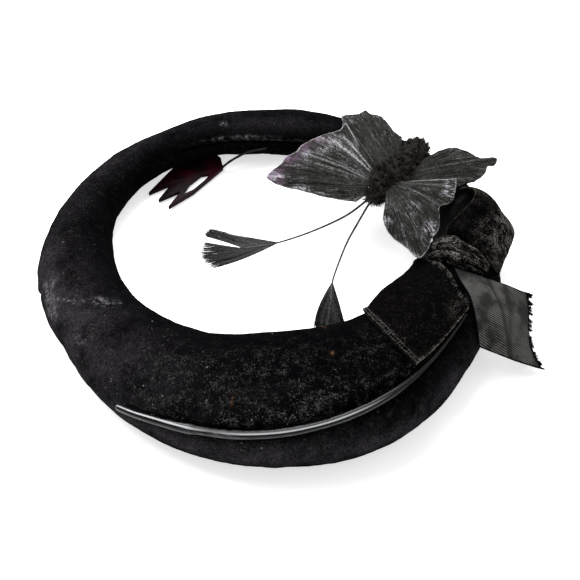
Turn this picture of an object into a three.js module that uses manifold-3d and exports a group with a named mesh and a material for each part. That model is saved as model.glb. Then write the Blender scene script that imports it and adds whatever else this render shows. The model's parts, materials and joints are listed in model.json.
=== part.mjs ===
// A velvet halo fascinator: a padded crescent ring that carries a tied velvet ribbon,
// a black butterfly with feather-tipped antennae, a stripped quill and a small hair comb.
// Millimetres, +Z up. The ring's middle is the working origin. The whole model is moved at
// the end so that the origin is under the middle of its outer box, on the surface it lies on.
import * as THREE from 'three';
import { mergeVertices } from 'three/addons/utils/BufferGeometryUtils.js';
import Module from 'manifold-3d';

const wasm = await Module();
wasm.setup();

const FULL_TURN = 360;
const CLOTH = 1.4;              // wall of the ribbon's velvet
const WING_WALL = 1.0;          // wall of a stiffened wing
const SEAT = 0.5;               // clearance between a ribbon and what it lies on
const MERGE = 1e-3;             // how close two corners are before they are one
const RING_STEPS = 72;

// The ring, by plan angle: 0 is the wearer's side with the knot, 270 the full front.
const RING = [
  { at: 0, inner: 76, outer: 118, top: 30, base: 0 },
  { at: 30, inner: 97, outer: 125, top: 23, base: 0 },
  { at: 60, inner: 100, outer: 124.5, top: 22, base: 1.5 },
  { at: 90, inner: 97, outer: 128, top: 21.3, base: 3.1 },
  { at: 120, inner: 103, outer: 125.9, top: 22, base: 3.8 },
  { at: 150, inner: 96.5, outer: 126, top: 24, base: 3.4 },
  { at: 180, inner: 80, outer: 123.5, top: 29, base: 0 },
  { at: 210, inner: 66, outer: 117, top: 36, base: 0 },
  { at: 240, inner: 57, outer: 121, top: 44, base: 0 },
  { at: 270, inner: 51, outer: 124.5, top: 50, base: 0 },
  { at: 300, inner: 53, outer: 123.5, top: 48, base: 0 },
  { at: 330, inner: 58, outer: 115, top: 38, base: 0 },
];
const WAIST = 0.41;             // height of the widest line, as a share of the roll's height
const FLAT_SHARE = 1.26;        // how early the lower side reaches the flat underside

// The seam that the quill lies in, by plan angle: rise is the angle round the roll's section.
const GROOVE = [
  { at: 60, rise: 30, depth: 0 },
  { at: 215, rise: 9, depth: 0 },
  { at: 229, rise: 9.5, depth: 1 },
  { at: 242, rise: 20, depth: 2.3 },
  { at: 253, rise: 25, depth: 2.7 },
  { at: 272, rise: 31, depth: 2.8 },
  { at: 291, rise: 40, depth: 2.5 },
  { at: 306, rise: 46.5, depth: 1.9 },
  { at: 320, rise: 49.5, depth: 1.1 },
  { at: 336, rise: 53, depth: 0 },
];
const GROOVE_WIDTH = 8;         // degrees round the section
// The fold under the roll on the thin far side, above the binding band.
const CREASE = { rise: 152, width: 7, depth: 2.0, from: 62, to: 128, fade: 12, edge: 1.6 };
// Where the section's points lie: below the groove, across it, above it and below the crease.
const UNDER_RISES = [-90, -53, -33, -14];
const GROOVE_STEPS = [-2, -0.8, 0, 0.8, 2];
const OVER_STEPS = 5;
const INNER_RISES = [182, 203, 233];

const QUILL = [
  { at: 230.5, rise: 10, radius: 1.5 },
  { at: 236, rise: 15.5, radius: 1.8 },
  { at: 242, rise: 20, radius: 2 },
  { at: 248, rise: 23.2, radius: 2.4 },
  { at: 253, rise: 24.8, radius: 2.15 },
  { at: 262, rise: 27.2, radius: 2.25 },
  { at: 272, rise: 30.5, radius: 2.2 },
  { at: 282, rise: 35, radius: 2.15 },
  { at: 291, rise: 39.5, radius: 2.2 },
  { at: 299, rise: 43.3, radius: 2.1 },
  { at: 306, rise: 46, radius: 1.8 },
  { at: 313, rise: 48, radius: 1.5 },
  { at: 320, rise: 49.3, radius: 1.1 },
  { at: 328, rise: 50.5, radius: 0.7 },
  { at: 336, rise: 52, radius: 0.5 },
];
const QUILL_STEPS = 44;
const QUILL_SIDES = 8;
const QUILL_SUNK = 0.8;         // how far it lies down in the seam, as a share of its depth
const QUILL_END = { back: 0.7, radius: 0.55 };   // its rounded end, in radii

// The ribbon end that lies across the ring: its two cut or folded ends, by section rise.
const BAND = [
  { rise: 151, start: 316, end: 362 },
  { rise: 144, start: 315, end: 361.5 },
  { rise: 130, start: 312.5, end: 359 },
  { rise: 114, start: 310, end: 355.5 },
  { rise: 98, start: 308.5, end: 351 },
  { rise: 82, start: 308, end: 345.5 },
  { rise: 67, start: 308.5, end: 341.5 },
  { rise: 54.5, start: 309.5, end: 338.5 },
];
const BAND_STEPS = 12;
// The inner edge bridges the roll's curve, fully from this share of the band's length on.
const BAND_PROUD = { lift: 6.5, from: 112, over: 38, reach: 0.55 };

const KNOT = [
  { rise: 150, middle: 5.0, half: 3.2, high: 4.6 },
  { rise: 136, middle: 4.0, half: 4.2, high: 7.6 },
  { rise: 120, middle: 2.4, half: 4.9, high: 9.2 },
  { rise: 104, middle: 0.5, half: 5.3, high: 9.8 },
  { rise: 92, middle: -2.2, half: 4.8, high: 9.2 },
  { rise: 82, middle: -3.2, half: 4.1, high: 8.0 },
  { rise: 72, middle: -4.1, half: 3.2, high: 6.4 },
  { rise: 62, middle: -4.6, half: 2.3, high: 4.6 },
  { rise: 54, middle: -5.0, half: 1.8, high: 3.2 },
];
const KNOT_FOLD = { count: 3, depth: 0.11 };
const KNOT_ROUND = 0.96;        // how far its top comes down at its two edges
const KNOT_STEPS = { along: 12, across: 8 };

// The loop of the bow: out along the ring, round the fold, and back above itself. Each row
// is one line across the ribbon, from its inner edge to its outer one, as places round the
// ring: plan angle, rise round the section, and distance off the roll.
const LOOP = [
  { at: [10.2, 4.5], rise: [146, 58], off: [2.4, 1.3, 1.3] },
  { at: [15.8, 8.6], rise: [155, 40], off: [3.2, 1.3, 1.4] },
  { at: [22, 12.2], rise: [148, 22], off: [3, 1.4, 3] },
  { at: [25.8, 14.6], rise: [124, 8], off: [4, 1.6, 8] },
  { at: [25.3, 15.2], rise: [98, 2], off: [8.5, 3.6, 9.8] },
  { at: [22, 14.2], rise: [88, 0], off: [14, 7.4, 9.6] },
  { at: [18, 11.8], rise: [84, 1], off: [17, 9.2, 7.2] },
  { at: [13, 8.2], rise: [91, 6], off: [17, 9, 4.2] },
  { at: [10, 3.6], rise: [104, 15], off: [14, 7.6, 3] },
  { at: [7.8, -2.4], rise: [112, 23], off: [11.2, 6.4, 1.8] },
];
const LOOP_STEPS = 34;
const LOOP_ACROSS = 7;

// The loose end, reverse side up, from beside the knot out over the ring's shoulder.
const TAIL = [
  { root: { at: 352.2, rise: 94 }, mid: [113.4, -18.5, 31.5], tip: [131.2, -13.8, 15.8] },
  { root: { at: 346.5, rise: 79 }, mid: [116.5, -26, 30], tip: [130.9, -23, 11.4] },
  { root: { at: 341.8, rise: 60 }, mid: [118.5, -38, 27.5], tip: [130.4, -33.5, 8] },
  { root: { at: 336.2, rise: 40 }, mid: [118.5, -48, 21.5], tip: [132, -44.5, 6] },
  { root: { at: 332, rise: 14 }, mid: [118, -57, 14.5], tip: [136.4, -54, 3] },
];
const TAIL_SEAT = SEAT + CLOTH;  // its middle surface, off the roll where it starts
const TAIL_STEPS = 9;
const TAIL_ACROSS = 10;

// The butterfly's own frame: fore runs from the tip of the abdomen to the head.
const BODY_MIDDLE = new THREE.Vector3(66, 60, 31.4);
const FORE = new THREE.Vector3(-31, -45, 4.6).normalize();
const LEFT = new THREE.Vector3(-45, 31, 0).normalize();
const BODY = [
  { fore: -27.4, radius: 2.4, bend: 2.3 },
  { fore: -25.4, radius: 5.2, bend: 2.1 },
  { fore: -21, radius: 6.7, bend: 1.6 },
  { fore: -15.5, radius: 7.0, bend: 1.0 },
  { fore: -10, radius: 6.6, bend: 0.5 },
  { fore: -4, radius: 6.9, bend: 0.1 },
  { fore: 3, radius: 7.3, bend: 0 },
  { fore: 10, radius: 7.0, bend: 0 },
  { fore: 15, radius: 5.6, bend: 0 },
  { fore: 18.5, radius: 5.0, bend: 0 },
  { fore: 22.5, radius: 5.4, bend: 0 },
  { fore: 26, radius: 4.3, bend: 0 },
  { fore: 27.8, radius: 2.2, bend: 0 },
];
const BODY_SIDES = 12;
const BODY_KEEL = 1.1;          // the underside is this much deeper, down to the roll
const BODY_TUFT = { count: 5, depth: 0.05, twist: 0.9 };
const BODY_STEPS = 18;

// Wing margins, front to back, from the body's line: out to the side, fore, height above
// the surface. A root is the stretch of the body's side that the wing's rays start from.
const WING_ROOT = 7.9;
const WINGS = [
  {
    name: 'forewing_left', side: 1, camber: 2.0, fold: 0.9, grey: 0x4a4a4c,
    root: [{ fore: 26.5, high: 35.8, out: 5.0 }, { fore: 12, high: 37.2, out: WING_ROOT }],
    margin: [
      [6, 34.4, 36.6], [16.5, 42.6, 38.2], [30, 48.5, 39.4], [41, 52, 40.2], [49.2, 52.6, 40.9],
      [50.8, 45, 41], [49.4, 39.5, 41], [50.4, 33, 41], [48, 27, 41], [48.8, 21, 40.9],
      [46, 14.5, 40.8], [44.6, 9, 40.7], [41.4, 4, 40.4], [38.6, -1.5, 40.2], [39, -7.5, 40.2],
    ],
  },
  {
    name: 'hindwing_left', side: 1, camber: 1.6, fold: 0.7, grey: 0x414144,
    root: [{ fore: 13, high: 33.4, out: WING_ROOT }, { fore: -16, high: 32.4, out: 8.6 }],
    margin: [
      [40, -3, 34.4], [43, -10, 32.4], [45.8, -15.2, 31.6], [49.2, -19.2, 31], [46, -22, 31.4],
      [44.2, -23.8, 31.5], [42, -25.2, 31.7], [40.4, -30, 32], [36.4, -28, 32.5],
      [30.4, -29.6, 33.2], [25.4, -27, 33.4], [18, -23.4, 33.2], [11.4, -21.8, 32.8],
    ],
  },
  {
    name: 'hindwing_right', side: -1, camber: 1.8, fold: 0.7, grey: 0x454548,
    root: [{ fore: 13, high: 33.4, out: WING_ROOT }, { fore: -14, high: 33, out: 7.2 }],
    margin: [
      [31, -2, 33.6], [35.8, -9.7, 34.6], [39.4, -14.4, 34.7], [40.4, -22, 34.7],
      [39, -27.6, 34.7], [41.4, -30.2, 34.6], [39.8, -35.6, 34.7], [35, -32, 34.9],
      [31, -29.8, 35], [24.4, -31, 35.3], [18, -29, 35.4], [12.4, -24.2, 34.8],
      [9.6, -19, 33.8],
    ],
  },
  {
    name: 'forewing_right', side: -1, camber: 3.0, fold: 0.9, grey: 0x4e4e51,
    root: [{ fore: 21, high: 36.9, out: 5.6 }, { fore: 13, high: 37.2, out: 6.6 }],
    margin: [
      [10.6, 27, 37.4], [13.6, 35.6, 37.3], [18, 42.6, 36.8], [25, 46.6, 36.1],
      [35, 48.6, 35.2], [44, 50.4, 34.4], [44.8, 42.6, 34.5], [42.4, 36, 35],
      [42.4, 29, 35.4], [38.6, 21.4, 35.8], [34.6, 14.8, 36.2], [36.6, 10, 36.2],
      [37.4, 5.6, 36.2], [33.8, -3, 36.6], [31, -8, 36.6],
    ],
  },
];
const WING_STEPS = 7;
const WING_PLEAT = 0.35;        // how much of its fold a crease keeps

// Two stripped feather stems, bare to the small flag of barbs left at each tip. A lobe's
// barbs run from the last stretch of the stem to the line of its tips; bow is how far the
// first of them swings out on the way.
const ANTENNAE = [
  {
    name: 'antenna_left',
    stem: [[49, 36.7, 33.8], [36.8, 26.5, 31.6], [18.4, 18.4, 28], [1.6, 14, 24.6],
      [-8, 12.8, 23.4], [-16, 12.2, 22.2]],
    lobes: [
      {
        from: 0.59, bow: [0, -0.5, 0],
        tips: [[-33.6, 28.6, 19.4], [-35.6, 26.8, 19.2], [-36.6, 24.8, 19]],
      },
      {
        from: 0.59, bow: [0, -1.8, 0],
        tips: [[-31.4, 2, 18.2], [-35.4, 5.4, 18], [-37.6, 9, 18], [-38.2, 13, 18.2],
          [-37.4, 17, 18.6], [-36.4, 19.6, 18.8]],
      },
    ],
  },
  {
    name: 'antenna_right',
    stem: [[50.4, 35.6, 33.8], [43.6, 22.6, 31.2], [37, 9.8, 27.4], [30.5, -7.4, 21.6],
      [29.4, -14, 19.4], [29, -20, 17.4]],
    lobes: [
      {
        from: 0.66, bow: [-1.6, 0, 0],
        tips: [[20.6, -32.6, 12.8], [23.6, -36.4, 11.6], [29, -37, 11.4]],
      },
      {
        from: 0.66, bow: [0.3, 0, 0],
        tips: [[35, -30, 13.4], [33, -35, 12], [28.4, -37, 11.4]],
      },
    ],
  },
];
const STEM_RADIUS = 0.55;
const STEM_STEPS = 14;
const STEM_SEGMENTS = 6;
const BARB_WALL = 1.1;
const BARB_STEPS = 4;
const BARB_CROWD = 0.7;         // under 1: more barbs spring from the tip of the stem

// The comb lies under the ring, its back across the roll and its teeth along it. The end
// tooth on the open side is pierced by a long eye.
const COMB = {
  corner: [-29.8, 93.4],        // outer end of the back, on the side of the opening
  along: 226.5,                 // plan direction of the teeth, degrees
  reach: 42, first: -0.7, pitch: 7.75, teeth: 3, notch: 12.5, tip: 0.7,
  low: 1.0, thick: 2.2,
  // The plan's other corners: along the teeth from the back, then across them.
  openEdge: [[0, -0.9], [12, -1.8], [25, -2.7]],
  hiddenEdge: [[21, 19], [8, 20.5], [-3, 20], [-5.5, 13], [-4.6, 5.5]],
  eye: [[8.2, 1.0], [13, -0.2], [23, -0.9], [30, 0.4], [22, 3.5], [12.5, 3.9]],
};
const TIE = {
  path: [[-29.4, 91.2, 4.1], [-24, 92.9, 8.0], [-15.2, 95.4, 11.6], [-4.8, 96.8, 13.2]],
  wide: 1.8, thick: 1, steps: 10,
};

const radians = (angle) => THREE.MathUtils.degToRad(angle);
const vector = (triple) => new THREE.Vector3(...triple);
const smooth = (value, from, to) => THREE.MathUtils.smoothstep(value, from, to);

// Catmull-Rom between four neighbouring values.
function spline(before, start, end, after, share) {
  const bend = 2 * before - 5 * start + 4 * end - after;
  const twist = 3 * start - before - 3 * end + after;
  return 0.5 * (2 * start + (end - before) * share + bend * share ** 2 + twist * share ** 3);
}

// A named column of the ring's table at any plan angle.
function ringColumn(name, angle) {
  const gap = FULL_TURN / RING.length;
  const turned = THREE.MathUtils.euclideanModulo(angle, FULL_TURN) / gap;
  const row = Math.floor(turned);
  const near = [-1, 0, 1, 2].map((step) => {
    return RING[(row + step + RING.length) % RING.length][name];
  });
  return spline(...near, turned - row);
}

// A named column of a table whose rows run from one value of the key to another.
function tableColumn(table, key, name, value) {
  const rising = table[table.length - 1][key] > table[0][key];
  const rows = rising ? table : [...table].reverse();
  const after = rows.findIndex((row) => row[key] >= value);
  if (after < 0) return rows[rows.length - 1][name];
  if (after === 0) return rows[0][name];
  const share = (value - rows[after - 1][key]) / (rows[after][key] - rows[after - 1][key]);
  return THREE.MathUtils.lerp(rows[after - 1][name], rows[after][name], share);
}

// The groove's table closes on itself round the ring.
function grooveColumn(name, angle) {
  const first = GROOVE[0];
  const turned = THREE.MathUtils.euclideanModulo(angle - first.at, FULL_TURN) + first.at;
  const closed = [...GROOVE, { ...first, at: first.at + FULL_TURN }];
  return tableColumn(closed, 'at', name, turned);
}

function hollowAt(angle, rise) {
  const fromGroove = (rise - grooveColumn('rise', angle)) / GROOVE_WIDTH;
  const groove = grooveColumn('depth', angle) * Math.exp(-(fromGroove ** 2));
  const ends = smooth(angle, CREASE.from, CREASE.from + CREASE.fade)
    * (1 - smooth(angle, CREASE.to - CREASE.fade, CREASE.to));
  const crease = CREASE.depth * ends * Math.exp(-(((rise - CREASE.rise) / CREASE.width) ** 2));
  return groove + crease;
}

// A point of the roll: plan angle, angle round the section, and distance off the surface.
function ringPoint(angle, rise, off = 0) {
  const [inner, outer, top] = ['inner', 'outer', 'top'].map((name) => ringColumn(name, angle));
  const base = Math.max(0, ringColumn('base', angle));
  const waist = base + WAIST * (top - base);
  const across = Math.cos(radians(rise));
  const up = Math.sin(radians(rise));
  const radius = (inner + outer) / 2 + ((outer - inner) / 2 + off) * across;
  const height = up >= 0
    ? waist + (top - waist + off) * up
    : waist - (waist - base + off) * Math.min(1, -FLAT_SHARE * up);
  const turn = radians(angle);
  return new THREE.Vector3(radius * Math.cos(turn), radius * Math.sin(turn), height);
}

// Angles round the section, close together at the groove and at the crease.
function sectionRises(angle) {
  const groove = grooveColumn('rise', angle);
  const across = GROOVE_STEPS.map((step) => groove + step * GROOVE_WIDTH);
  const crease = [-CREASE.edge, 0, CREASE.edge].map((step) => CREASE.rise + step * CREASE.width);
  const from = across[across.length - 1];
  const over = Array.from({ length: OVER_STEPS }, (_, step) => {
    return THREE.MathUtils.lerp(from, crease[0], (step + 1) / (OVER_STEPS + 1));
  });
  return [...UNDER_RISES, ...across, ...over, ...crease, ...INNER_RISES];
}

// A closed body from rows of points, each row one turn of its section.
function loft(rows, closesOnItself = false) {
  const across = rows[0].length;
  const index = [];
  const quad = (a, b, c, d) => index.push(a, b, c, a, c, d);
  const lastRow = closesOnItself ? rows.length : rows.length - 1;
  for (let row = 0; row < lastRow; row += 1) {
    const here = row * across;
    const next = ((row + 1) % rows.length) * across;
    for (let point = 0; point < across; point += 1) {
      const beside = (point + 1) % across;
      quad(here + point, next + point, next + beside, here + beside);
    }
  }
  if (!closesOnItself) {
    const end = (rows.length - 1) * across;
    for (let point = 0; point < across / 2 - 1; point += 1) {
      const other = across - 1 - point;
      quad(point, point + 1, other - 1, other);
      quad(end + point, end + other, end + other - 1, end + point + 1);
    }
  }
  return outward(rows.flat(), index);
}

// Faces are turned to point out of the body, whichever way the rows ran.
function outward(points, index) {
  let volume = 0;
  for (let corner = 0; corner < index.length; corner += 3) {
    const [a, b, c] = [0, 1, 2].map((step) => points[index[corner + step]]);
    volume += a.dot(b.clone().cross(c));
  }
  const faces = volume < 0 ? [...index].reverse() : index;
  const geometry = new THREE.BufferGeometry().setFromPoints(points);
  geometry.setIndex(faces);
  geometry.computeVertexNormals();
  return geometry;
}

// A sheet of even thickness from a grid of points on its middle surface.
function sheet(grid, thickness) {
  const rows = grid.map((line, row) => {
    const normals = line.map((point, column) => {
      const beside = [line[Math.max(column - 1, 0)], line[Math.min(column + 1, line.length - 1)]];
      const before = grid[Math.max(row - 1, 0)][column];
      const after = grid[Math.min(row + 1, grid.length - 1)][column];
      const across = beside[1].clone().sub(beside[0]);
      return after.clone().sub(before).cross(across).normalize();
    });
    const shifted = (distance) => line.map((point, column) => {
      return point.clone().addScaledVector(normals[column], distance);
    });
    return [...shifted(thickness / 2), ...shifted(-thickness / 2).reverse()];
  });
  return loft(rows);
}

function shares(steps) {
  return Array.from({ length: steps + 1 }, (_, step) => step / steps);
}

function material(color, roughness, metalness = 0) {
  return new THREE.MeshStandardMaterial({ color, roughness, metalness });
}

function piece(name, geometry, finish) {
  const mesh = new THREE.Mesh(geometry, finish);
  mesh.name = name;
  return mesh;
}

// The padded roll, thick at the front and thin at the back, flat underneath.
function ringRoll() {
  const rows = Array.from({ length: RING_STEPS }, (_, step) => {
    const angle = step * FULL_TURN / RING_STEPS;
    return sectionRises(angle).map((rise) => {
      const hollow = rise > 0 && rise < 180 ? hollowAt(angle, rise) : 0;
      return ringPoint(angle, rise, -hollow);
    });
  });
  return piece('ring_roll', loft(rows, true), material(0x141315, 0.95));
}

// The bare quill, laid in the seam: a tapering rod with a nub near its thick end.
function quill() {
  const seat = (row) => {
    const sunk = grooveColumn('depth', row.at) * QUILL_SUNK;
    return ringPoint(row.at, row.rise, row.radius + SEAT - sunk);
  };
  const curve = new THREE.CatmullRomCurve3(QUILL.map(seat));
  const rings = shares(QUILL_STEPS).map((share) => {
    const place = share * (QUILL.length - 1);
    const row = Math.min(Math.floor(place), QUILL.length - 2);
    const radius = THREE.MathUtils.lerp(QUILL[row].radius, QUILL[row + 1].radius, place - row);
    const point = curve.getPoint(share);
    const along = curve.getTangent(share);
    const side = along.clone().cross(new THREE.Vector3(0, 0, 1)).normalize();
    const up = side.clone().cross(along);
    return { point, along, side, up, radius };
  });
  const first = rings[0];
  rings.unshift({
    ...first,
    point: first.point.clone().addScaledVector(first.along, -first.radius * QUILL_END.back),
    radius: first.radius * QUILL_END.radius,
  });
  const rows = rings.map(({ point, side, up, radius }) => {
    return Array.from({ length: QUILL_SIDES }, (_, step) => {
      const turn = step * 2 * Math.PI / QUILL_SIDES;
      return point.clone()
        .addScaledVector(side, radius * Math.cos(turn))
        .addScaledVector(up, radius * Math.sin(turn));
    });
  });
  return piece('quill', loft(rows), material(0x08080a, 0.18));
}

function ribbonBand() {
  const grid = shares(BAND_STEPS).map((share) => BAND.map((row) => {
    const angle = THREE.MathUtils.lerp(row.start, row.end, share);
    const inner = smooth(row.rise, BAND_PROUD.from, BAND_PROUD.from + BAND_PROUD.over);
    const bridge = BAND_PROUD.lift * inner * smooth(share, 0, BAND_PROUD.reach);
    return ringPoint(angle, row.rise, SEAT + CLOTH / 2 + bridge);
  }));
  return piece('ribbon_band', sheet(grid, CLOTH), material(0x17151a, 0.9));
}

// The knot hugs the ring: a strap with pinched folds, flat on the side that meets the roll.
function knot() {
  const first = KNOT[0].rise;
  const last = KNOT[KNOT.length - 1].rise;
  const rows = shares(KNOT_STEPS.along).map((share) => {
    const rise = THREE.MathUtils.lerp(first, last, share);
    const [middle, half, high] = ['middle', 'half', 'high'].map((name) => {
      return tableColumn(KNOT, 'rise', name, rise);
    });
    const top = shares(KNOT_STEPS.across).map((part) => {
      const side = 2 * part - 1;
      const round = Math.sqrt(1 - KNOT_ROUND * side ** 4);
      const fold = 1 + KNOT_FOLD.depth * Math.cos(KNOT_FOLD.count * Math.PI * side);
      return ringPoint(middle + half * side, rise, SEAT + high * round * fold);
    });
    const under = shares(KNOT_STEPS.across).map((part) => {
      return ringPoint(middle + half * (1 - 2 * part), rise, SEAT);
    });
    return [...top, ...under];
  });
  return piece('knot', loft(rows), material(0x19161a, 0.9));
}

// A value along a table's column at a share of its length, smoothed between rows.
function smoothed(values, share) {
  const place = share * (values.length - 1);
  const row = Math.min(Math.floor(place), values.length - 2);
  const near = [-1, 0, 1, 2].map((step) => {
    return values[THREE.MathUtils.clamp(row + step, 0, values.length - 1)];
  });
  return spline(...near, place - row);
}

function bowLoop() {
  const grid = shares(LOOP_STEPS).map((share) => {
    const along = (name, end) => smoothed(LOOP.map((row) => row[name][end]), share);
    const off = [0, 1, 2].map((end) => along('off', end));
    return shares(LOOP_ACROSS).map((part) => {
      const at = THREE.MathUtils.lerp(along('at', 0), along('at', 1), part);
      const rise = THREE.MathUtils.lerp(along('rise', 0), along('rise', 1), part);
      return ringPoint(at, rise, smoothed(off, part));
    });
  });
  return piece('bow_loop', sheet(grid, CLOTH), material(0x191619, 0.9));
}

function ribbonTail() {
  const roots = TAIL.map(({ root }) => ringPoint(root.at, root.rise, TAIL_SEAT));
  const lines = [roots, TAIL.map((row) => vector(row.mid)), TAIL.map((row) => vector(row.tip))];
  const curves = lines.map((points) => new THREE.CatmullRomCurve3(points));
  const grid = shares(TAIL_STEPS).map((share) => shares(TAIL_ACROSS).map((part) => {
    const [root, mid, tip] = curves.map((curve) => curve.getPoint(part));
    return new THREE.QuadraticBezierCurve3(root, mid, tip).getPoint(share);
  }));
  return piece('ribbon_tail', sheet(grid, CLOTH), material(0x3c3b39, 0.75));
}

// A place in the butterfly's own frame, at a height above the surface it lies over.
function beside(out, fore, high, side) {
  const point = BODY_MIDDLE.clone()
    .addScaledVector(LEFT, side * out)
    .addScaledVector(FORE, fore);
  point.z = high;
  return point;
}

function butterflyBody() {
  const up = LEFT.clone().cross(FORE);
  const curve = new THREE.CatmullRomCurve3(BODY.map(({ fore, radius, bend }) => {
    return new THREE.Vector3(fore, radius, bend);
  }));
  const rows = shares(BODY_STEPS).map((share) => {
    const { x: fore, y: radius, z: bend } = curve.getPoint(share);
    return Array.from({ length: BODY_SIDES }, (_, step) => {
      const turn = step * 2 * Math.PI / BODY_SIDES;
      const lumps = Math.sin(BODY_TUFT.count * turn + BODY_TUFT.twist * fore);
      const tuft = 1 + BODY_TUFT.depth * lumps;
      const depth = Math.sin(turn) < 0 ? BODY_KEEL : 1;
      return BODY_MIDDLE.clone()
        .addScaledVector(FORE, fore)
        .addScaledVector(LEFT, bend + radius * tuft * Math.cos(turn))
        .addScaledVector(up, radius * tuft * depth * Math.sin(turn));
    });
  });
  return piece('butterfly_body', loft(rows), material(0x26251f, 1));
}

// A wing: rays from the body to the points of its margin, cupped and creased along them.
function wing({ name, side, camber, fold, grey, root, margin }) {
  const grid = margin.map(([out, fore, high], ray) => {
    const share = ray / (margin.length - 1);
    const start = ['out', 'fore', 'high'].map((key) => {
      return THREE.MathUtils.lerp(root[0][key], root[1][key], share);
    });
    const from = beside(...start, side);
    const to = beside(out, fore, high, side);
    const crease = WING_PLEAT * fold * Math.cos(ray * Math.PI);
    return shares(WING_STEPS).map((step) => {
      const point = from.clone().lerp(to, step);
      const swell = Math.sin(Math.PI * step);
      point.z += swell * (camber * Math.sin(Math.PI * share) + crease);
      return point;
    });
  });
  return piece(name, sheet(grid, WING_WALL), material(grey, 0.7));
}

// A closed three.js body as a manifold solid, and back again.
function solid(geometry) {
  const bare = geometry.clone();
  bare.deleteAttribute('normal');
  bare.deleteAttribute('uv');
  const merged = mergeVertices(bare, MERGE);
  return new wasm.Manifold(new wasm.Mesh({
    numProp: 3,
    vertProperties: new Float32Array(merged.attributes.position.array),
    triVerts: new Uint32Array(merged.index.array),
  }));
}

function geometryOf(body) {
  const { vertProperties, triVerts } = body.getMesh();
  const geometry = new THREE.BufferGeometry();
  geometry.setAttribute('position', new THREE.BufferAttribute(vertProperties, 3));
  geometry.setIndex(new THREE.BufferAttribute(triVerts, 1));
  geometry.computeVertexNormals();
  return geometry;
}

// One lobe of barbs: a thin sheet from the stem's last stretch out to the barbs' tips.
function lobe(curve, { from, bow, tips }) {
  const ends = new THREE.CatmullRomCurve3(tips.map(vector));
  const grid = shares(tips.length + 1).map((share) => {
    const root = curve.getPoint(THREE.MathUtils.lerp(from, 1, share ** BARB_CROWD));
    const tip = ends.getPoint(share);
    return shares(BARB_STEPS).map((step) => {
      const swell = Math.sin(Math.PI * step) * (1 - share);
      return root.clone().lerp(tip, step).addScaledVector(vector(bow), swell);
    });
  });
  return solid(sheet(grid, BARB_WALL));
}

function antenna({ name, stem, lobes }) {
  const curve = new THREE.CatmullRomCurve3(stem.map(vector));
  const section = new THREE.Shape().absarc(0, 0, STEM_RADIUS, 0, 2 * Math.PI, false);
  const rod = new THREE.ExtrudeGeometry(section, {
    steps: STEM_STEPS, curveSegments: STEM_SEGMENTS, extrudePath: curve,
  });
  const joined = lobes.reduce((whole, row) => whole.add(lobe(curve, row)), solid(rod));
  const shells = joined.decompose().sort((one, other) => other.volume() - one.volume());
  return piece(name, geometryOf(shells[0]), material(0x26282a, 0.85));
}

// The comb's plan: a bowed back, pointed teeth, and a long eye in the end tooth.
function comb() {
  const { reach, first, pitch, teeth, notch, tip, openEdge, hiddenEdge, eye } = COMB;
  const outline = new THREE.Shape();
  openEdge.forEach(([x, y], corner) => (corner ? outline.lineTo(x, y) : outline.moveTo(x, y)));
  for (let tooth = 0; tooth < teeth; tooth += 1) {
    const middle = first + tooth * pitch;
    outline.lineTo(reach, middle - tip / 2);
    outline.lineTo(reach, middle + tip / 2);
    if (tooth < teeth - 1) {
      outline.lineTo(reach - notch, middle + pitch / 2 - tip / 4);
      outline.lineTo(reach - notch, middle + pitch / 2 + tip / 4);
    }
  }
  hiddenEdge.forEach(([x, y]) => outline.lineTo(x, y));
  outline.closePath();
  const slot = new THREE.Path();
  eye.forEach(([x, y], corner) => (corner ? slot.lineTo(x, y) : slot.moveTo(x, y)));
  slot.closePath();
  outline.holes.push(slot);
  const geometry = new THREE.ExtrudeGeometry(outline, {
    depth: COMB.thick, bevelEnabled: false, steps: 1,
  });
  const mesh = piece('comb', mirrored(geometry), material(0x3a0d12, 0.25));
  mesh.position.set(...COMB.corner, COMB.low);
  mesh.rotation.z = radians(COMB.along);
  return mesh;
}

// The same body with its sides exchanged and its faces still pointing out.
function mirrored(geometry) {
  const flipped = geometry.clone().scale(1, -1, 1);
  const place = flipped.attributes.position;
  const order = Array.from({ length: place.count }, (_, corner) => {
    return corner - (corner % 3) + [0, 2, 1][corner % 3];
  });
  flipped.setIndex(order);
  return flipped;
}

function combTie() {
  const curve = new THREE.CatmullRomCurve3(TIE.path.map(vector));
  const section = new THREE.Shape();
  section.moveTo(-TIE.thick / 2, -TIE.wide / 2);
  section.lineTo(TIE.thick / 2, -TIE.wide / 2);
  section.lineTo(TIE.thick / 2, TIE.wide / 2);
  section.lineTo(-TIE.thick / 2, TIE.wide / 2);
  section.closePath();
  const geometry = new THREE.ExtrudeGeometry(section, { steps: TIE.steps, extrudePath: curve });
  return piece('comb_tie', geometry, material(0x101012, 0.4));
}

const model = new THREE.Group();
model.add(
  ringRoll(), quill(), ribbonBand(), knot(), bowLoop(), ribbonTail(),
  butterflyBody(), ...WINGS.map(wing), ...ANTENNAE.map(antenna),
  comb(), combTie(),
);

// The origin goes under the middle of the outer box.
const outer = new THREE.Box3().setFromObject(model, true);
const middle = outer.getCenter(new THREE.Vector3());
model.position.set(-middle.x, -middle.y, -outer.min.z);

const fascinator = new THREE.Group();
fascinator.add(model);
export default fascinator;
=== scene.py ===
# A velvet halo fascinator, dressed round its solid frame: padded ring, tied ribbon, butterfly,
# feather antennae, quill and comb. Places are millimetres from the ring's middle, and become
# metres in the frame's own axes when a piece is made.
import json
import math
import bmesh
import bpy
import numpy as np
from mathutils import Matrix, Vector, noise

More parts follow.
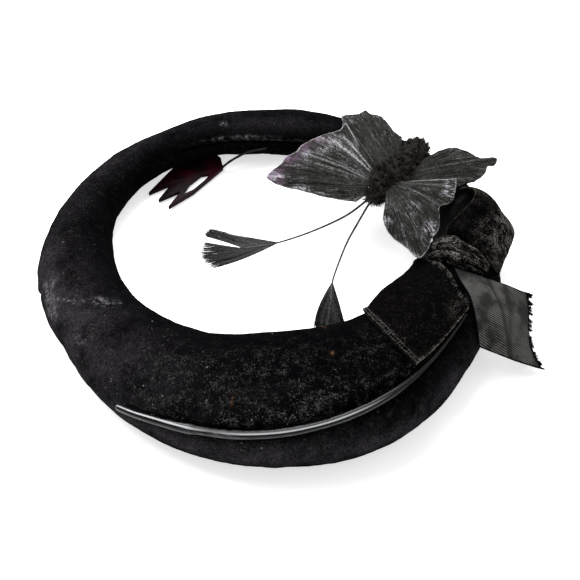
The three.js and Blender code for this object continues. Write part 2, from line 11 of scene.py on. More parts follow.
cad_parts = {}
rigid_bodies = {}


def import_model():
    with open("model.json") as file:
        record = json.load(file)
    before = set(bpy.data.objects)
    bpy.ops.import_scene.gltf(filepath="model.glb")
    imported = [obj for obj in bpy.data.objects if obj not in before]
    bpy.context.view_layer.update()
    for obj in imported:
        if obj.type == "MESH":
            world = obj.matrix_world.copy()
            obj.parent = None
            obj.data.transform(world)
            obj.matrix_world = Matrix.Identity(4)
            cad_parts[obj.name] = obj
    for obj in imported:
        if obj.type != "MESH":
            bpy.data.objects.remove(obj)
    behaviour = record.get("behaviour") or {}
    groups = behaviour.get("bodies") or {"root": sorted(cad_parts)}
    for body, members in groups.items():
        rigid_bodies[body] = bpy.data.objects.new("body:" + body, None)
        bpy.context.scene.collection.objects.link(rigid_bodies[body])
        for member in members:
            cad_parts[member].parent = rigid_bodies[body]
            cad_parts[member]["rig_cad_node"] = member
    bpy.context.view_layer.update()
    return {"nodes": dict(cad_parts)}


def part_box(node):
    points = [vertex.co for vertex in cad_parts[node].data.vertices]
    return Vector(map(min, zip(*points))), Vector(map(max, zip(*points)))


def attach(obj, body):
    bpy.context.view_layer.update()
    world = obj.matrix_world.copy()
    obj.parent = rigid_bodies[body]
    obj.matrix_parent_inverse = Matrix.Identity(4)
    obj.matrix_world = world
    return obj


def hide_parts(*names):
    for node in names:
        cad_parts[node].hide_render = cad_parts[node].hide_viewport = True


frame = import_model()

MM = 0.001
FULL_TURN = 360.0
BODY_NAME = "root"
SCENE = bpy.context.scene


def table(columns, rows):
    """A short table as one array for each named column."""
    return dict(zip(columns.split(), np.array(rows, float).T))


# The roll, by plan angle: 0 is the side with the knot, 270 the full front.
RING = table("at inner outer top base", [
    (0, 76, 118, 30, 0), (30, 97, 125, 23, 0), (60, 100, 124.5, 22, 1.5),
    (90, 97, 128, 21.3, 3.1), (120, 103, 125.9, 22, 3.8), (150, 96.5, 126, 24, 3.4),
    (180, 80, 123.5, 29, 0), (210, 66, 117, 36, 0), (240, 57, 121, 44, 0),
    (270, 51, 124.5, 50, 0), (300, 53, 123.5, 48, 0), (330, 58, 115, 38, 0),
])
WAIST = 0.41                     # the widest line's height, as a share of the roll's
FLAT_SHARE = 1.26                # above 1, the underside is flat for part of its width
SEAT = 0.5                       # the gap between the roll and what lies on it
VELVET = 1.4                     # the ribbon's thickness with its pile

# The seam that the quill lies in: rise is the angle round the roll's section.
GROOVE = table("at rise depth", [
    (60, 30, 0), (215, 9, 0), (229, 9.5, 1), (242, 20, 2.3), (253, 25, 2.7), (272, 31, 2.8),
    (291, 40, 2.5), (306, 46.5, 1.9), (320, 49.5, 1.1), (336, 53, 0), (420, 30, 0),
])
QUILL = table("at rise radius", [
    (230.5, 10, 1.5), (236, 15.5, 1.8), (242, 20, 2), (248, 23.2, 2.4), (253, 24.8, 2.15),
    (262, 27.2, 2.25), (272, 30.5, 2.2), (282, 35, 2.15), (291, 39.5, 2.2), (299, 43.3, 1.9),
    (306, 46, 1.35), (313, 48, 0.95), (320, 49.3, 0.7), (328, 50.5, 0.55), (336, 52, 0.5),
])

# The ribbon across the ring, by section rise: the plan angles of its two ends.
BAND = table("rise start end", [
    (151, 320, 362), (144, 318, 361.5), (130, 313.5, 359), (114, 310, 355.5),
    (98, 308.5, 351), (82, 308, 345.5), (67, 308.5, 341.5), (54.5, 309.5, 338.5),
])
# The ribbon stands off the roll where it bridges to the knot, from a rise inwards.
BAND_PROUD = {"lift": 5.85, "from": 112, "over": 38, "reach": 0.55}
# The knot's fold, by section rise: plan angle of its middle, half its width, and height.
KNOT = table("rise middle half high", [
    (158, 5.4, 3.3, 4.4), (136, 4.0, 4.2, 7.6), (120, 2.4, 4.9, 9.2), (104, 0.5, 5.3, 9.8),
    (92, -2.2, 4.8, 9.2), (82, -3.2, 4.1, 8.0), (72, -4.1, 3.2, 6.4), (62, -4.6, 2.3, 4.6),
    (54, -5.0, 1.8, 3.2),
])
# The bow's loop, a row for each line across the ribbon, from its inner edge to its outer one.
LOOP = table("inner_at outer_at inner_rise outer_rise inner_off middle_off outer_off", [
    (10.2, 4.5, 146, 58, 2.4, 1.3, 1.3), (15.8, 8.6, 155, 40, 3.2, 1.3, 1.4),
    (22, 12.2, 148, 22, 3, 1.4, 3), (25.8, 14.6, 124, 8, 4, 1.6, 8),
    (25.3, 15.2, 98, 2, 8.5, 3.6, 9.8), (22, 14.2, 88, 0, 14, 7.4, 9.6),
    (18, 11.8, 84, 1, 17, 9.2, 7.2), (13, 8.2, 91, 6, 17, 9, 4.2),
    (10, 2.6, 104, 20, 14, 7.6, 1.6), (7.8, -2.8, 112, 30, 11.2, 6.0, 1.2),
    (7.4, -4.2, 113, 31, 3.5, 2.6, 1.2),
])
# The loose end, by five lines along it: their roots on the roll, middle handles and tips.
TAIL_ROOT = table("at rise", [(352.2, 94), (346.5, 79), (341.8, 60), (336.2, 40), (332, 14)])
TAIL_MIDDLE = [
    (113.4, -18.5, 31.5), (116.5, -26, 30), (118.5, -38, 27.5), (118.5, -48, 21.5),
    (118, -57, 14.5),
]
TAIL_TIP = [
    (131.2, -13.8, 15.8), (130.9, -23, 11.4), (130.4, -33.5, 8), (132, -44.5, 6),
    (136.4, -54, 3),
]

# The butterfly's own directions: fore runs to the head.
BODY_MIDDLE = np.array([66, 60, 31.4])
FORE = np.array([-31, -45, 4.6]) / math.dist((0, 0, 0), (-31, -45, 4.6))
LEFT = np.array([-45, 31, 0]) / math.hypot(45, 31)
UP = np.cross(LEFT, FORE)
BODY = table("fore radius bend", [
    (-27.4, 2.4, 2.3), (-25.4, 5.2, 2.1), (-21, 6.7, 1.6), (-15.5, 7.0, 1.0), (-10, 6.6, 0.5),
    (-4, 6.9, 0.1), (3, 7.3, 0), (10, 7.0, 0), (15, 5.6, 0), (18.5, 5.0, 0), (22.5, 5.4, 0),
    (26, 4.3, 0), (27.8, 2.2, 0),
])
WING_ROOT = 7.9
# Wing margins, front to back: out from the body's line, fore, and height over the surface.
# Crests are painted highlights along ridges: place along the margin, bend, width, strength. Spots are
# pale marks:
# place along the margin and share of the way out. Tint is purple: place, strength.
WINGS = [
    {
        "name": "forewing_left", "side": 1, "camber": 2.0, "pleat": 0.32, "frost": 1.0, "hem": 0,
        "spots": [(0.105, 0.86)],
        "highlight_crests": [
            (0.57, 0, 0.012, 0.5), (0.63, 0.02, 0.008, 0.5), (0.84, 0.03, 0.02, 1.0),
            (0.925, 0.02, 0.016, 1.0), (0.5, 0, 0.01, 0.4),
        ],
        "tint": [(0.29, 1.0), (0.36, 0.5), (0.5, 0.9), (0.64, 0.6), (0.75, 0.4)],
        "root": [(2.5, 28.5, 35.8), (WING_ROOT, 12, 37.2)],
        "margin": [
            (3, 36.4, 36.4), (16.5, 43.4, 38.2), (30, 48.5, 39.4), (41, 52, 40.2),
            (49.2, 52.6, 40.9), (50.8, 45, 41), (49.4, 39.5, 41), (50.4, 33, 41), (48, 27, 41),
            (48.8, 21, 40.9), (46, 14.5, 40.8), (44.6, 9, 40.7), (41.4, 4, 40.4),
            (38.6, -1.5, 40.2), (39, -7.5, 40.2),
        ],
    },
    {
        "name": "hindwing_left", "side": 1, "camber": 1.6, "pleat": 0.25, "frost": 0.35, "hem": 0,
        "highlight_crests": [(0.2, 0, 0.01, 0.3)], "spots": [], "tint": [(0.08, 0.8), (0.2, 0.4)],
        "root": [(WING_ROOT, 13, 33.4), (8.6, -16, 32.4)],
        "margin": [
            (40, -3, 34.4), (43, -10, 32.4), (45.8, -15.2, 31.6), (49.2, -19.2, 31),
            (46, -22, 31.4), (44.2, -23.8, 31.5), (42, -25.2, 31.7), (40.4, -30, 32),
            (36.4, -28, 32.5), (30.4, -29.6, 33.2), (25.4, -27, 33.4), (18, -23.4, 33.2),
            (11.4, -21.8, 32.8),
        ],
    },
    {
        "name": "hindwing_right", "side": -1, "camber": 1.8, "pleat": 0.25, "frost": 0.2, "hem": 0,
        "highlight_crests": [(0.5, 0, 0.01, 0.2)], "spots": [], "tint": [],
        "root": [(WING_ROOT, 13, 33.4), (7.2, -14, 33)],
        "margin": [
            (31, -2, 33.6), (35.8, -9.7, 34.6), (39.4, -14.4, 34.7), (40.4, -22, 34.7),
            (39, -27.6, 34.7), (41.4, -30.2, 34.6), (39.8, -35.6, 34.7), (35, -32, 34.9),
            (31, -29.8, 35), (24.4, -31, 35.3), (18, -29, 35.4), (12.4, -24.2, 34.8),
            (9.6, -19, 33.8),
        ],
    },
    {
        "name": "forewing_right", "side": -1, "camber": 3.0, "pleat": 0.32, "frost": 0.85, "hem": 1,
        "highlight_crests": [(0.93, 0, 0.008, 0.35), (0.72, 0, 0.008, 0.3)], "spots": [], "tint": [],
        "root": [(5.6, 21, 36.9), (6.6, 13, 37.2)],
        "margin": [
            (10.6, 27, 37.4), (13.6, 35.6, 37.3), (18, 42.6, 36.8), (25, 46.6, 36.1),
            (35, 48.6, 35.2), (44, 50.4, 34.4), (44.8, 42.6, 34.5), (42.4, 36, 35),
            (42.4, 29, 35.4), (38.6, 21.4, 35.8), (34.6, 14.8, 36.2), (36.6, 10, 36.2),
            (37.4, 5.6, 36.2), (33.8, -3, 36.6), (31, -8, 36.6),
        ],
    },
]
WING_WALL = 0.9

STEM_RADIUS = 0.62
BARB_CROWD = 0.7                 # below 1, the barbs crowd towards the stem's tip
# Each antenna's bare stem, the share of it that is bare, and its lobes: bow, barbs and tips.
ANTENNAE = [
    {
        "name": "antenna_left", "tone": 0.3, "bare": 0.59,
        "stem": [
            (49, 36.7, 33.8), (36.8, 26.5, 31.6), (18.4, 18.4, 28), (1.6, 14, 24.6),
            (-8, 12.8, 23.4), (-16, 12.2, 22.2),
        ],
        "lobes": [
            ((0, -0.5, 0), 170, [(-33.6, 28.6, 19.4), (-35.6, 26.8, 19.2), (-36.6, 24.8, 19)]),
            ((0, -1.8, 0), 330, [
                (-31.4, 2, 18.2), (-35.4, 5.4, 18), (-37.6, 9, 18), (-38.2, 13, 18.2),
                (-37.4, 17, 18.6), (-36.4, 19.6, 18.8),
            ]),
        ],
    },
    {
        "name": "antenna_right", "tone": 0.08, "bare": 0.66,
        "stem": [
            (50.4, 35.6, 33.8), (43.6, 22.6, 31.2), (37, 9.8, 27.4),
            (30.5, -7.4, 21.6), (29.4, -14, 19.4), (29, -20, 17.4),
        ],
        "lobes": [
            ((-1.6, 0, 0), 190, [(20.6, -32.6, 12.8), (23.6, -36.4, 11.6), (29, -37, 11.4)]),
            ((0.3, 0, 0), 170, [(35, -30, 13.4), (33, -35, 12), (28.4, -37, 11.4)]),
        ],
    },
]
# The tape's middle line, from the comb to the roll.
TIE = [(-29.4, 91.2, 4.1), (-24, 92.9, 8.0), (-15.2, 95.4, 11.6), (-4.8, 96.8, 13.2)]


# Curves and the roll's surface

def spline(before, start, end, after, share):
    """Catmull-Rom between four neighbouring values."""
    bend = 2 * before - 5 * start + 4 * end - after
    twist = 3 * start - before - 3 * end + after
    return 0.5 * (2 * start + (end - before) * share + bend * share ** 2 + twist * share ** 3)


def along(values, share):
    """A smooth value, or row of values, at a share of a list's length."""
    values = np.asarray(values, float)
    place = np.clip(np.asarray(share, float), 0, 1) * (len(values) - 1)
    row = np.minimum(place.astype(int), len(values) - 2)
    near = [values[np.clip(row + step, 0, len(values) - 1)] for step in (-1, 0, 1, 2)]
    part = place - row
    if values.ndim > 1:
        part = part[..., None]
    return spline(*near, part)


def ring_column(name, angle):
    count = len(RING["at"])
    turned = np.mod(angle, FULL_TURN) / (FULL_TURN / count)
    row = np.floor(turned).astype(int)
    near = [RING[name][(row + step) % count] for step in (-1, 0, 1, 2)]
    return spline(*near, turned - row)


def ring_section(angle):
    """Middle radius, half width, waist height, and heights above and below the waist."""
    inner, outer, top = (ring_column(name, angle) for name in ("inner", "outer", "top"))
    base = np.maximum(0, ring_column("base", angle))
    waist = base + WAIST * (top - base)
    return (inner + outer) / 2, (outer - inner) / 2, waist, top - waist, waist - base


def ring_point(angle, rise, off=0.0):
    """Points of the roll: plan angle, angle round the section, distance off the surface."""
    angle, rise, off = np.broadcast_arrays(*(np.asarray(x, float) for x in (angle, rise, off)))
    middle, half, waist, above, below = ring_section(angle)
    across, up = np.cos(np.radians(rise)), np.sin(np.radians(rise))
    radius = middle + (half + off) * across
    high = waist + (above + off) * up
    low = waist - (below + off) * np.minimum(1, -FLAT_SHARE * up)
    height = np.where(up >= 0, high, low)
    turn = np.radians(angle)
    return np.stack([radius * np.cos(turn), radius * np.sin(turn), height], -1)


def ring_place(points):
    """The plan angle and the section rise of points near the roll's surface."""
    angle = np.degrees(np.arctan2(points[:, 1], points[:, 0])) % FULL_TURN
    middle, half, waist, above, below = ring_section(angle)
    across = (np.hypot(points[:, 0], points[:, 1]) - middle) / half
    up = points[:, 2] - waist
    up = np.where(up >= 0, up / above, up / np.maximum(below, 0.1))
    return angle, np.degrees(np.arctan2(up, across))


def groove_column(name, angle):
    turned = np.mod(np.asarray(angle, float) - GROOVE["at"][0], FULL_TURN) + GROOVE["at"][0]
    return np.interp(turned, GROOVE["at"], GROOVE[name])


def bump(value, middle, width):
    return np.exp(-((value - middle) / width) ** 2)


def smooth(value, low, high):
    share = np.clip((value - low) / (high - low), 0, 1)
    return share * share * (3 - 2 * share)


def between(value, start, stop, fade_in, fade_out):
    """1 from start to stop, fading inside both ends."""
    return smooth(value, start, start + fade_in) * (1 - smooth(value, stop - fade_out, stop))


def cloud(points, size, seed):
    """Soft noise from -1 to 1 at each point, with lumps of about this size."""
    offset = Vector((seed * 7.3, seed * 3.1, seed * 5.7))
    lumps = [noise.fractal(Vector(point) / size + offset, 0.6, 2.0, 3)
             for point in points.reshape(-1, 3)]
    return np.array(lumps).reshape(points.shape[:-1])


def ramp(count):
    return np.linspace(0, 1, count)


def shares(rows, columns):
    """Two grids from 0 to 1: one grows along the rows, the other across them."""
    return np.meshgrid(ramp(rows), ramp(columns), indexing="ij")


def unit(vectors):
    return vectors / np.maximum(np.linalg.norm(vectors, axis=-1, keepdims=True), 1e-9)


RING_ROWS = np.arange(72) * 5.0
RING_LOW = ring_point(RING_ROWS[:, None], np.arange(-90, 270, 4.0)[None, :]).min((0, 1))
SHIFT = np.array(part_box("ring_roll")[0]) / MM - RING_LOW


# Making meshes

def add_object(name, data):
    piece = bpy.data.objects.new(name, data)
    SCENE.collection.objects.link(piece)
    return piece


def add_mask(piece, name, values):
    mask = piece.data.attributes.new(name, "FLOAT", "POINT")
    mask.data.foreach_set("value", np.asarray(values, np.float32).ravel())


def make(name, points, faces, materials, masks=None, sides=None, uv=None):
    """A closed mesh piece from points in millimetres, riding on the one body."""
    mesh = bpy.data.meshes.new(name)
    mesh.from_pydata(((points.reshape(-1, 3) + SHIFT) * MM).tolist(), [], faces)
    for material in materials:
        mesh.materials.append(material)
    if sides is not None:
        mesh.polygons.foreach_set("material_index", sides.astype(np.int32))
    piece = add_object(name, mesh)
    for key, values in (masks or {}).items():
        add_mask(piece, key, values)
    if uv is not None:
        layer = mesh.uv_layers.new(name="cloth")
        corner = np.empty(len(mesh.loops), np.int32)
        mesh.loops.foreach_get("vertex_index", corner)
        layer.data.foreach_set("uv", uv.astype(np.float32)[corner].ravel())
    outward = bmesh.new()
    outward.from_mesh(mesh)
    bmesh.ops.recalc_face_normals(outward, faces=outward.faces)
    outward.to_mesh(mesh)
    outward.free()
    mesh.shade_smooth()
    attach(piece, BODY_NAME)
    return piece


def settle(piece):
    """Every modifier becomes part of the mesh."""
    graph = bpy.context.evaluated_depsgraph_get()
    solid = bpy.data.meshes.new_from_object(piece.evaluated_get(graph))
    piece.modifiers.clear()
    piece.data = solid


def refine(piece, levels=1):
    modifier = piece.modifiers.new("fine", "SUBSURF")
    modifier.levels = modifier.render_levels = levels
    settle(piece)


def read(values, key):
    flat = np.empty(len(values) * 3, np.float32)
    values.foreach_get(key, flat)
    return flat.reshape(-1, 3).astype(float)


def points_of(piece):
    """The piece's vertices, in millimetres from the ring's middle."""
    return read(piece.data.vertices, "co") / MM - SHIFT


def move_to(piece, points):
    piece.data.vertices.foreach_set("co", ((points + SHIFT) * MM).astype(np.float32).ravel())
    piece.data.update()


def torus_faces(rows, columns):
    row, column = np.meshgrid(np.arange(rows), np.arange(columns), indexing="ij")
    here, over = row * columns, (row + 1) % rows * columns
    beside = (column + 1) % columns
    quads = [here + column, over + column, over + beside, here + beside]
    return np.stack(quads, -1).reshape(-1, 4).tolist()


def rod_faces(rows, columns):
    """The sides of a rod and its two end caps."""
    last = (rows - 1) * columns
    caps = [list(range(columns)), [last + step for step in reversed(range(columns))]]
    return torus_faces(rows, columns)[:last] + caps


def grid_normals(grid):
    return unit(np.cross(np.gradient(grid, axis=0), np.gradient(grid, axis=1)))


def arc_lengths(grid):
    """How far each point lies along the rows and across them, in millimetres."""
    lengths = []
    for axis in (0, 1):
        steps = np.linalg.norm(np.diff(grid, axis=axis), axis=2).mean(1 - axis)
        lengths.append(np.concatenate([[0], np.cumsum(steps)]))
    return np.meshgrid(*lengths, indexing="ij")


def sheet(name, grid, wall, materials, masks, uv=None):
    """A closed sheet on a grid of its middle surface: its first face, its second, its edge."""
    rows, columns = grid.shape[:2]
    half = grid_normals(grid) * wall / 2
    index = np.arange(rows * columns).reshape(rows, columns)
    quads = np.stack([index[:-1, :-1], index[1:, :-1], index[1:, 1:], index[:-1, 1:]], -1)
    quads = quads.reshape(-1, 4)
    rim = np.concatenate([index[0, :], index[1:, -1], index[-1, -2::-1], index[-2:0:-1, 0]])
    after, second = np.roll(rim, -1), rows * columns
    edge = np.stack([rim, after, after + second, rim + second], -1)
    faces = np.concatenate([quads, quads[:, ::-1] + second, edge])
    sides = np.repeat([0, len(materials) - 1, 0], [len(quads), len(quads), len(edge)])
    run, over = arc_lengths(grid)
    near = np.minimum.reduce([run, run.max() - run, over, over.max() - over])
    both = {key: np.tile(values.ravel(), 2) for key, values in {**masks, "edge": near}.items()}
    if uv is None:
        uv = np.stack([run, over], -1)
    uv = np.tile(uv.reshape(-1, 2), (2, 1))
    points = np.stack([grid + half, grid - half])
    piece = make(name, points, faces.tolist(), materials, both, sides, uv)
    refine(piece)
    return piece


def strands(name, lines, width, depth, material, tones, up=(0, 0, 1)):
    """Many thin closed strands as one mesh: lines is strand, step and point."""
    count, steps = lines.shape[:2]
    heading = unit(np.gradient(lines, axis=1))
    side = unit(np.cross(heading, up))
    over = np.cross(side, heading)
    width, depth = np.asarray(width)[..., None], np.asarray(depth)[..., None]
    ring = [side * width, over * depth, -side * width, -over * depth]
    points = np.stack([lines + corner for corner in ring], 2)
    base = np.arange(count * steps).reshape(count, steps) * 4
    low, high = base[:, :-1].ravel(), base[:, 1:].ravel()
    faces = []
    for corner, beside in ((0, 1), (1, 2), (2, 3), (3, 0)):
        faces.append(np.stack([low + corner, high + corner, high + beside, low + beside], -1))
    faces += [base[:, :1] + np.arange(4), base[:, -1:] + np.arange(4)[::-1]]
    masks = {"tone": np.repeat(np.broadcast_to(tones, count), steps * 4)}
    return make(name, points, np.concatenate(faces).tolist(), [material], masks)


def tube(name, line, radius, material, sides, masks=None):
    """A closed rod along a line of points, its radius given at each."""
    heading = unit(np.gradient(line, axis=0))
    side = unit(np.cross(heading, (0, 0, 1)))
    over = np.cross(side, heading)
    turn = (np.arange(sides) * 2 * np.pi / sides)[:, None]
    points = line[:, None] + radius[:, None, None] * (
        side[:, None] * np.cos(turn) + over[:, None] * np.sin(turn)
    )
    masks = {key: np.repeat(values, sides) for key, values in (masks or {}).items()}
    return make(name, points, rod_faces(len(line), sides), [material], masks)


# Materials

class Finish:
    """A material built up in layers, and short ways to add its nodes."""

    def __init__(self, name, base, roughness, specular, sheen=None):
        self.material = bpy.data.materials.new(name)
        self.material.use_nodes = True
        self.nodes = self.material.node_tree.nodes
        self.links = self.material.node_tree.links
        self.surface = self.nodes["Principled BSDF"].inputs
        self.place = self.add("ShaderNodeTexCoord").outputs["Object"]
        self.shade = base
        self.put(self.surface["Roughness"], roughness)
        self.put(self.surface["Specular IOR Level"], specular)
        for key, value in (sheen or {}).items():
            self.put(self.surface["Sheen " + key], value)

    def put(self, socket, value):
        if isinstance(value, bpy.types.NodeSocket):
            self.links.new(value, socket)
        else:
            socket.default_value = (*value, 1.0) if socket.type == "RGBA" else value

    def add(self, kind, inputs=None, **settings):
        node = self.nodes.new(kind)
        for key, value in settings.items():
            setattr(node, key, value)
        for key, value in (inputs or {}).items():
            self.put(node.inputs[key], value)
        return node

    def math(self, operation, first, second):
        return self.add("ShaderNodeMath", {0: first, 1: second}, operation=operation).outputs[0]

    def times(self, first, second):
        return self.math("MULTIPLY", first, second)

    def plus(self, first, second):
        return self.math("ADD", first, second)

    def blend(self, share, first, second):
        sockets = {0: share, 6: first, 7: second}
        return self.add("ShaderNodeMix", sockets, data_type="RGBA").outputs[2]

    def layer(self, share, colour):
        """Lays a colour over what is there, as far as the share says."""
        self.shade = self.blend(share, self.shade, colour)

    def mask(self, name):
        return self.add("ShaderNodeAttribute", attribute_name=name).outputs["Fac"]

    def cloth(self):
        return self.add("ShaderNodeUVMap", uv_map="cloth").outputs[0]

    def stretched(self, scale, source):
        return self.add("ShaderNodeMapping", {"Vector": source, "Scale": scale}).outputs[0]

    def noise(self, scale, detail, rough=0.55, vector=None):
        sockets = {"Scale": scale, "Detail": detail, "Roughness": rough}
        sockets["Vector"] = vector or self.place
        return self.add("ShaderNodeTexNoise", sockets).outputs["Fac"]

    def step(self, value, low, high, top=1.0):
        sockets = {"Value": value, "From Min": low, "From Max": high, "To Max": top}
        node = self.add("ShaderNodeMapRange", sockets, interpolation_type="SMOOTHSTEP")
        return node.outputs[0]

    def rim(self, low, high):
        """1 at a sheet's edge, 0 from a distance in."""
        return self.math("SUBTRACT", 1.0, self.step(self.mask("edge"), low, high))

    def flecks(self, scale, size, share):
        """Small separate specks: one in each cell that a random draw keeps."""
        cells = self.add("ShaderNodeTexVoronoi", {"Vector": self.place, "Scale": scale})
        draw = self.add("ShaderNodeSeparateColor", {"Color": cells.outputs["Color"]})
        near = self.math("LESS_THAN", cells.outputs["Distance"], size)
        return self.times(near, self.math("LESS_THAN", draw.outputs[0], share))

    def relief(self, height, distance, strength):
        sockets = {"Height": height, "Distance": distance, "Strength": strength}
        self.put(self.surface["Normal"], self.add("ShaderNodeBump", sockets).outputs[0])

    def done(self):
        self.put(self.surface["Base Color"], self.shade)
        return self.material


def roll_velvet():
    """Worn black velvet: dark pile, a painted grey sheen in patches, and dust in it."""
    sheen = {"Weight": 0.005, "Roughness": 0.45, "Tint": (0.75, 0.7, 0.8)}
    made = Finish("roll_velvet", (0.0009, 0.0008, 0.001), 0.9, 0.0, sheen)
    grain = made.step(made.noise(900, 4, 0.7), 0.34, 0.72)
    # Painted sheen: a grainy lighter grey laid over the pile in patches.
    painted_sheen = made.times(made.step(made.noise(60, 5, 0.68), 0.22, 0.72), made.mask("painted_sheen"))
    made.layer(made.times(painted_sheen, made.plus(made.times(grain, 0.8), 0.2)), (0.048, 0.044, 0.05))
    # Paler crushed pile along the seam and in spots, and a painted sheen along the far inner crease.
    crushed_and_sheen = made.step(made.noise(380, 4, 0.75), 0.42, 0.66)
    made.layer(made.times(made.mask("crushed_and_sheen"), crushed_and_sheen), (0.15, 0.145, 0.155))
    dust = made.times(made.mask("dust"), made.step(made.noise(170, 4, 0.7), 0.4, 0.6))
    clump = made.times(dust, made.step(made.noise(360, 5, 0.75), 0.52, 0.62))
    made.layer(clump, (0.048, 0.046, 0.043))
    fine = made.times(dust, made.step(made.noise(1150, 2), 0.52, 0.68))
    warm, cool = (0.094, 0.088, 0.077), (0.085, 0.085, 0.092)
    made.layer(fine, made.blend(made.step(made.noise(240, 1), 0.4, 0.6), warm, cool))
    bright = made.flecks(420, 0.17, made.times(dust, 0.22))
    made.layer(made.times(bright, 0.6), (0.21, 0.208, 0.2))
    rust = made.times(made.mask("rust"), made.step(made.noise(700, 3), 0.35, 0.6))
    made.layer(made.times(rust, 0.8), (0.27, 0.13, 0.06))
    made.relief(made.plus(made.noise(1300, 3), fine), 0.0003, 0.6)
    return made.done()


def ribbon_velvet():
    """The ribbon's pile: blacker, brown where it is flattened, with a painted sheen on the knot's fold
    tops, and a pale selvedge.
    """
    sheen = {"Weight": 0.004, "Roughness": 0.45, "Tint": (0.8, 0.7, 0.6)}
    made = Finish("ribbon_velvet", (0.0012, 0.0011, 0.0011), 0.9, 0.0, sheen)
    grain = made.step(made.noise(1250, 4, 0.75), 0.45, 0.62)
    cluster = made.step(made.noise(210, 5, 0.75), 0.42, 0.6)
    # Brown rubbed pile, and a painted sheen on the knot's fold tops.
    made.layer(made.times(made.mask("rubbed_and_sheen"), made.times(grain, cluster)), (0.21, 0.195, 0.182))
    dust = made.times(made.mask("dust"), made.step(made.noise(230, 3, 0.7), 0.42, 0.66))
    fine = made.times(dust, made.step(made.noise(1150, 2), 0.54, 0.7))
    made.layer(fine, (0.1, 0.09, 0.085))
    edge = made.times(made.rim(0.15, 0.8), made.step(made.noise(420, 3, 0.7), 0.38, 0.62))
    made.layer(made.times(edge, made.mask("selvedge")), (0.14, 0.122, 0.095))
    made.relief(made.noise(1300, 3), 0.0003, 0.6)
    return made.done()


RIB_PITCH = 1.25                 # millimetres, across the ribs as the cloth is laid out


def ribbon_reverse():
    """The dull grey back of the ribbon, with fine ribs along it and dark bound edges."""
    made = Finish("ribbon_reverse", (0.009, 0.0088, 0.0085), 0.8, 0.05)
    parts = made.add("ShaderNodeSeparateXYZ", {"Vector": made.cloth()}).outputs
    slant = made.plus(parts[1], made.times(parts[0], -0.14))
    bent = made.plus(slant, made.times(made.noise(60, 2), 2.2))
    rib = made.math("SINE", made.times(bent, 2 * math.pi / RIB_PITCH), 0.0)
    clear = made.plus(made.step(made.noise(85, 3), 0.36, 0.6, 0.85), 0.15)
    made.layer(made.times(made.step(rib, -0.7, 0.7), clear), (0.105, 0.103, 0.098))
    # Painted shade: the back darkens almost to black as far as the shaded mask says.
    made.layer(made.step(made.mask("shaded"), 0.2, 1.0, 0.96), (0.004, 0.0038, 0.0036))
    made.layer(made.step(made.noise(900, 3, 0.7), 0.5, 0.7, 0.5), (0.02, 0.019, 0.018))
    made.layer(made.rim(0.3, 1.0), (0.003, 0.003, 0.003))
    made.relief(made.plus(rib, made.noise(1200, 2)), 0.00015, 0.6)
    return made.done()


def wing_finish():
    """Pressed velvet wings: grey-green, streaked along the veins, frosted and tinted."""
    sheen = {"Weight": 0.01, "Roughness": 0.4}
    made = Finish("wing", (0.005, 0.005, 0.0042), 0.7, 0.05, sheen)
    veins = made.noise(1.0, 3, 0.6, made.stretched((38, 2.2, 1), made.cloth()))
    fine = made.noise(1.0, 4, 0.75, made.stretched((105, 5, 1), made.cloth()))
    grain = made.noise(1000, 3, 0.7)
    lit = made.times(made.step(fine, 0.43, 0.63), made.step(grain, 0.32, 0.62))
    made.layer(lit, (0.072, 0.071, 0.061))
    made.layer(made.step(veins, 0.48, 0.64, 0.8), (0.006, 0.006, 0.006))
    patchy = made.step(made.noise(130, 5, 0.75), 0.4, 0.6)
    streak = made.times(made.step(fine, 0.44, 0.6), made.step(grain, 0.36, 0.56))
    frost = made.times(made.mask("frost"), made.times(streak, patchy))
    made.layer(frost, (0.5, 0.48, 0.53))
    # The ridge mask paints highlights along the crests, and pale spots.
    ridge = made.times(made.mask("ridge"), made.step(grain, 0.34, 0.6))
    made.layer(made.times(ridge, 0.85), (0.42, 0.41, 0.42))
    tint = made.times(made.mask("tint"), made.step(made.noise(420, 3), 0.34, 0.58, 0.8))
    made.layer(tint, (0.17, 0.1, 0.17))
    broken = made.step(made.noise(330, 3, 0.7), 0.34, 0.56, 0.9)
    edge = made.times(made.times(made.rim(0.15, 0.8), broken), made.mask("rim"))
    made.layer(edge, (0.42, 0.41, 0.43))
    made.relief(made.plus(made.times(fine, 2.0), grain), 0.0005, 0.8)
    return made.done()


# Strands and threads: the darkest tone, the lightest, the grain's scale, and roughness.
TONED = {
    "thread": ((0.008, 0.008, 0.008), (0.1, 0.098, 0.094), 700, 0.8),
    "fray": ((0.001, 0.001, 0.001), (0.006, 0.006, 0.006), 400, 0.9),
    "chenille": ((0.0012, 0.0012, 0.001), (0.052, 0.048, 0.043), 300, 0.9),
    "barb": ((0.002, 0.002, 0.002), (0.062, 0.064, 0.062), 900, 0.75),
    "stem": ((0.003, 0.003, 0.003), (0.16, 0.16, 0.15), 500, 0.45),
    "hair": ((0.035, 0.033, 0.03), (0.2, 0.192, 0.18), 400, 0.7),
    "tape": ((0.003, 0.003, 0.003), (0.012, 0.012, 0.012), 600, 0.4),
}


def toned(name):
    """A strand's finish: each strand a little lighter or darker than the next."""
    dark, light, grain, roughness = TONED[name]
    made = Finish(name, dark, roughness, 0.04)
    uneven = made.step(made.noise(grain, 2), 0.3, 0.7, 0.35)
    made.layer(made.plus(made.mask("tone"), uneven), light)
    made.relief(made.noise(2400, 2), 0.0001, 0.5)
    return made.done()


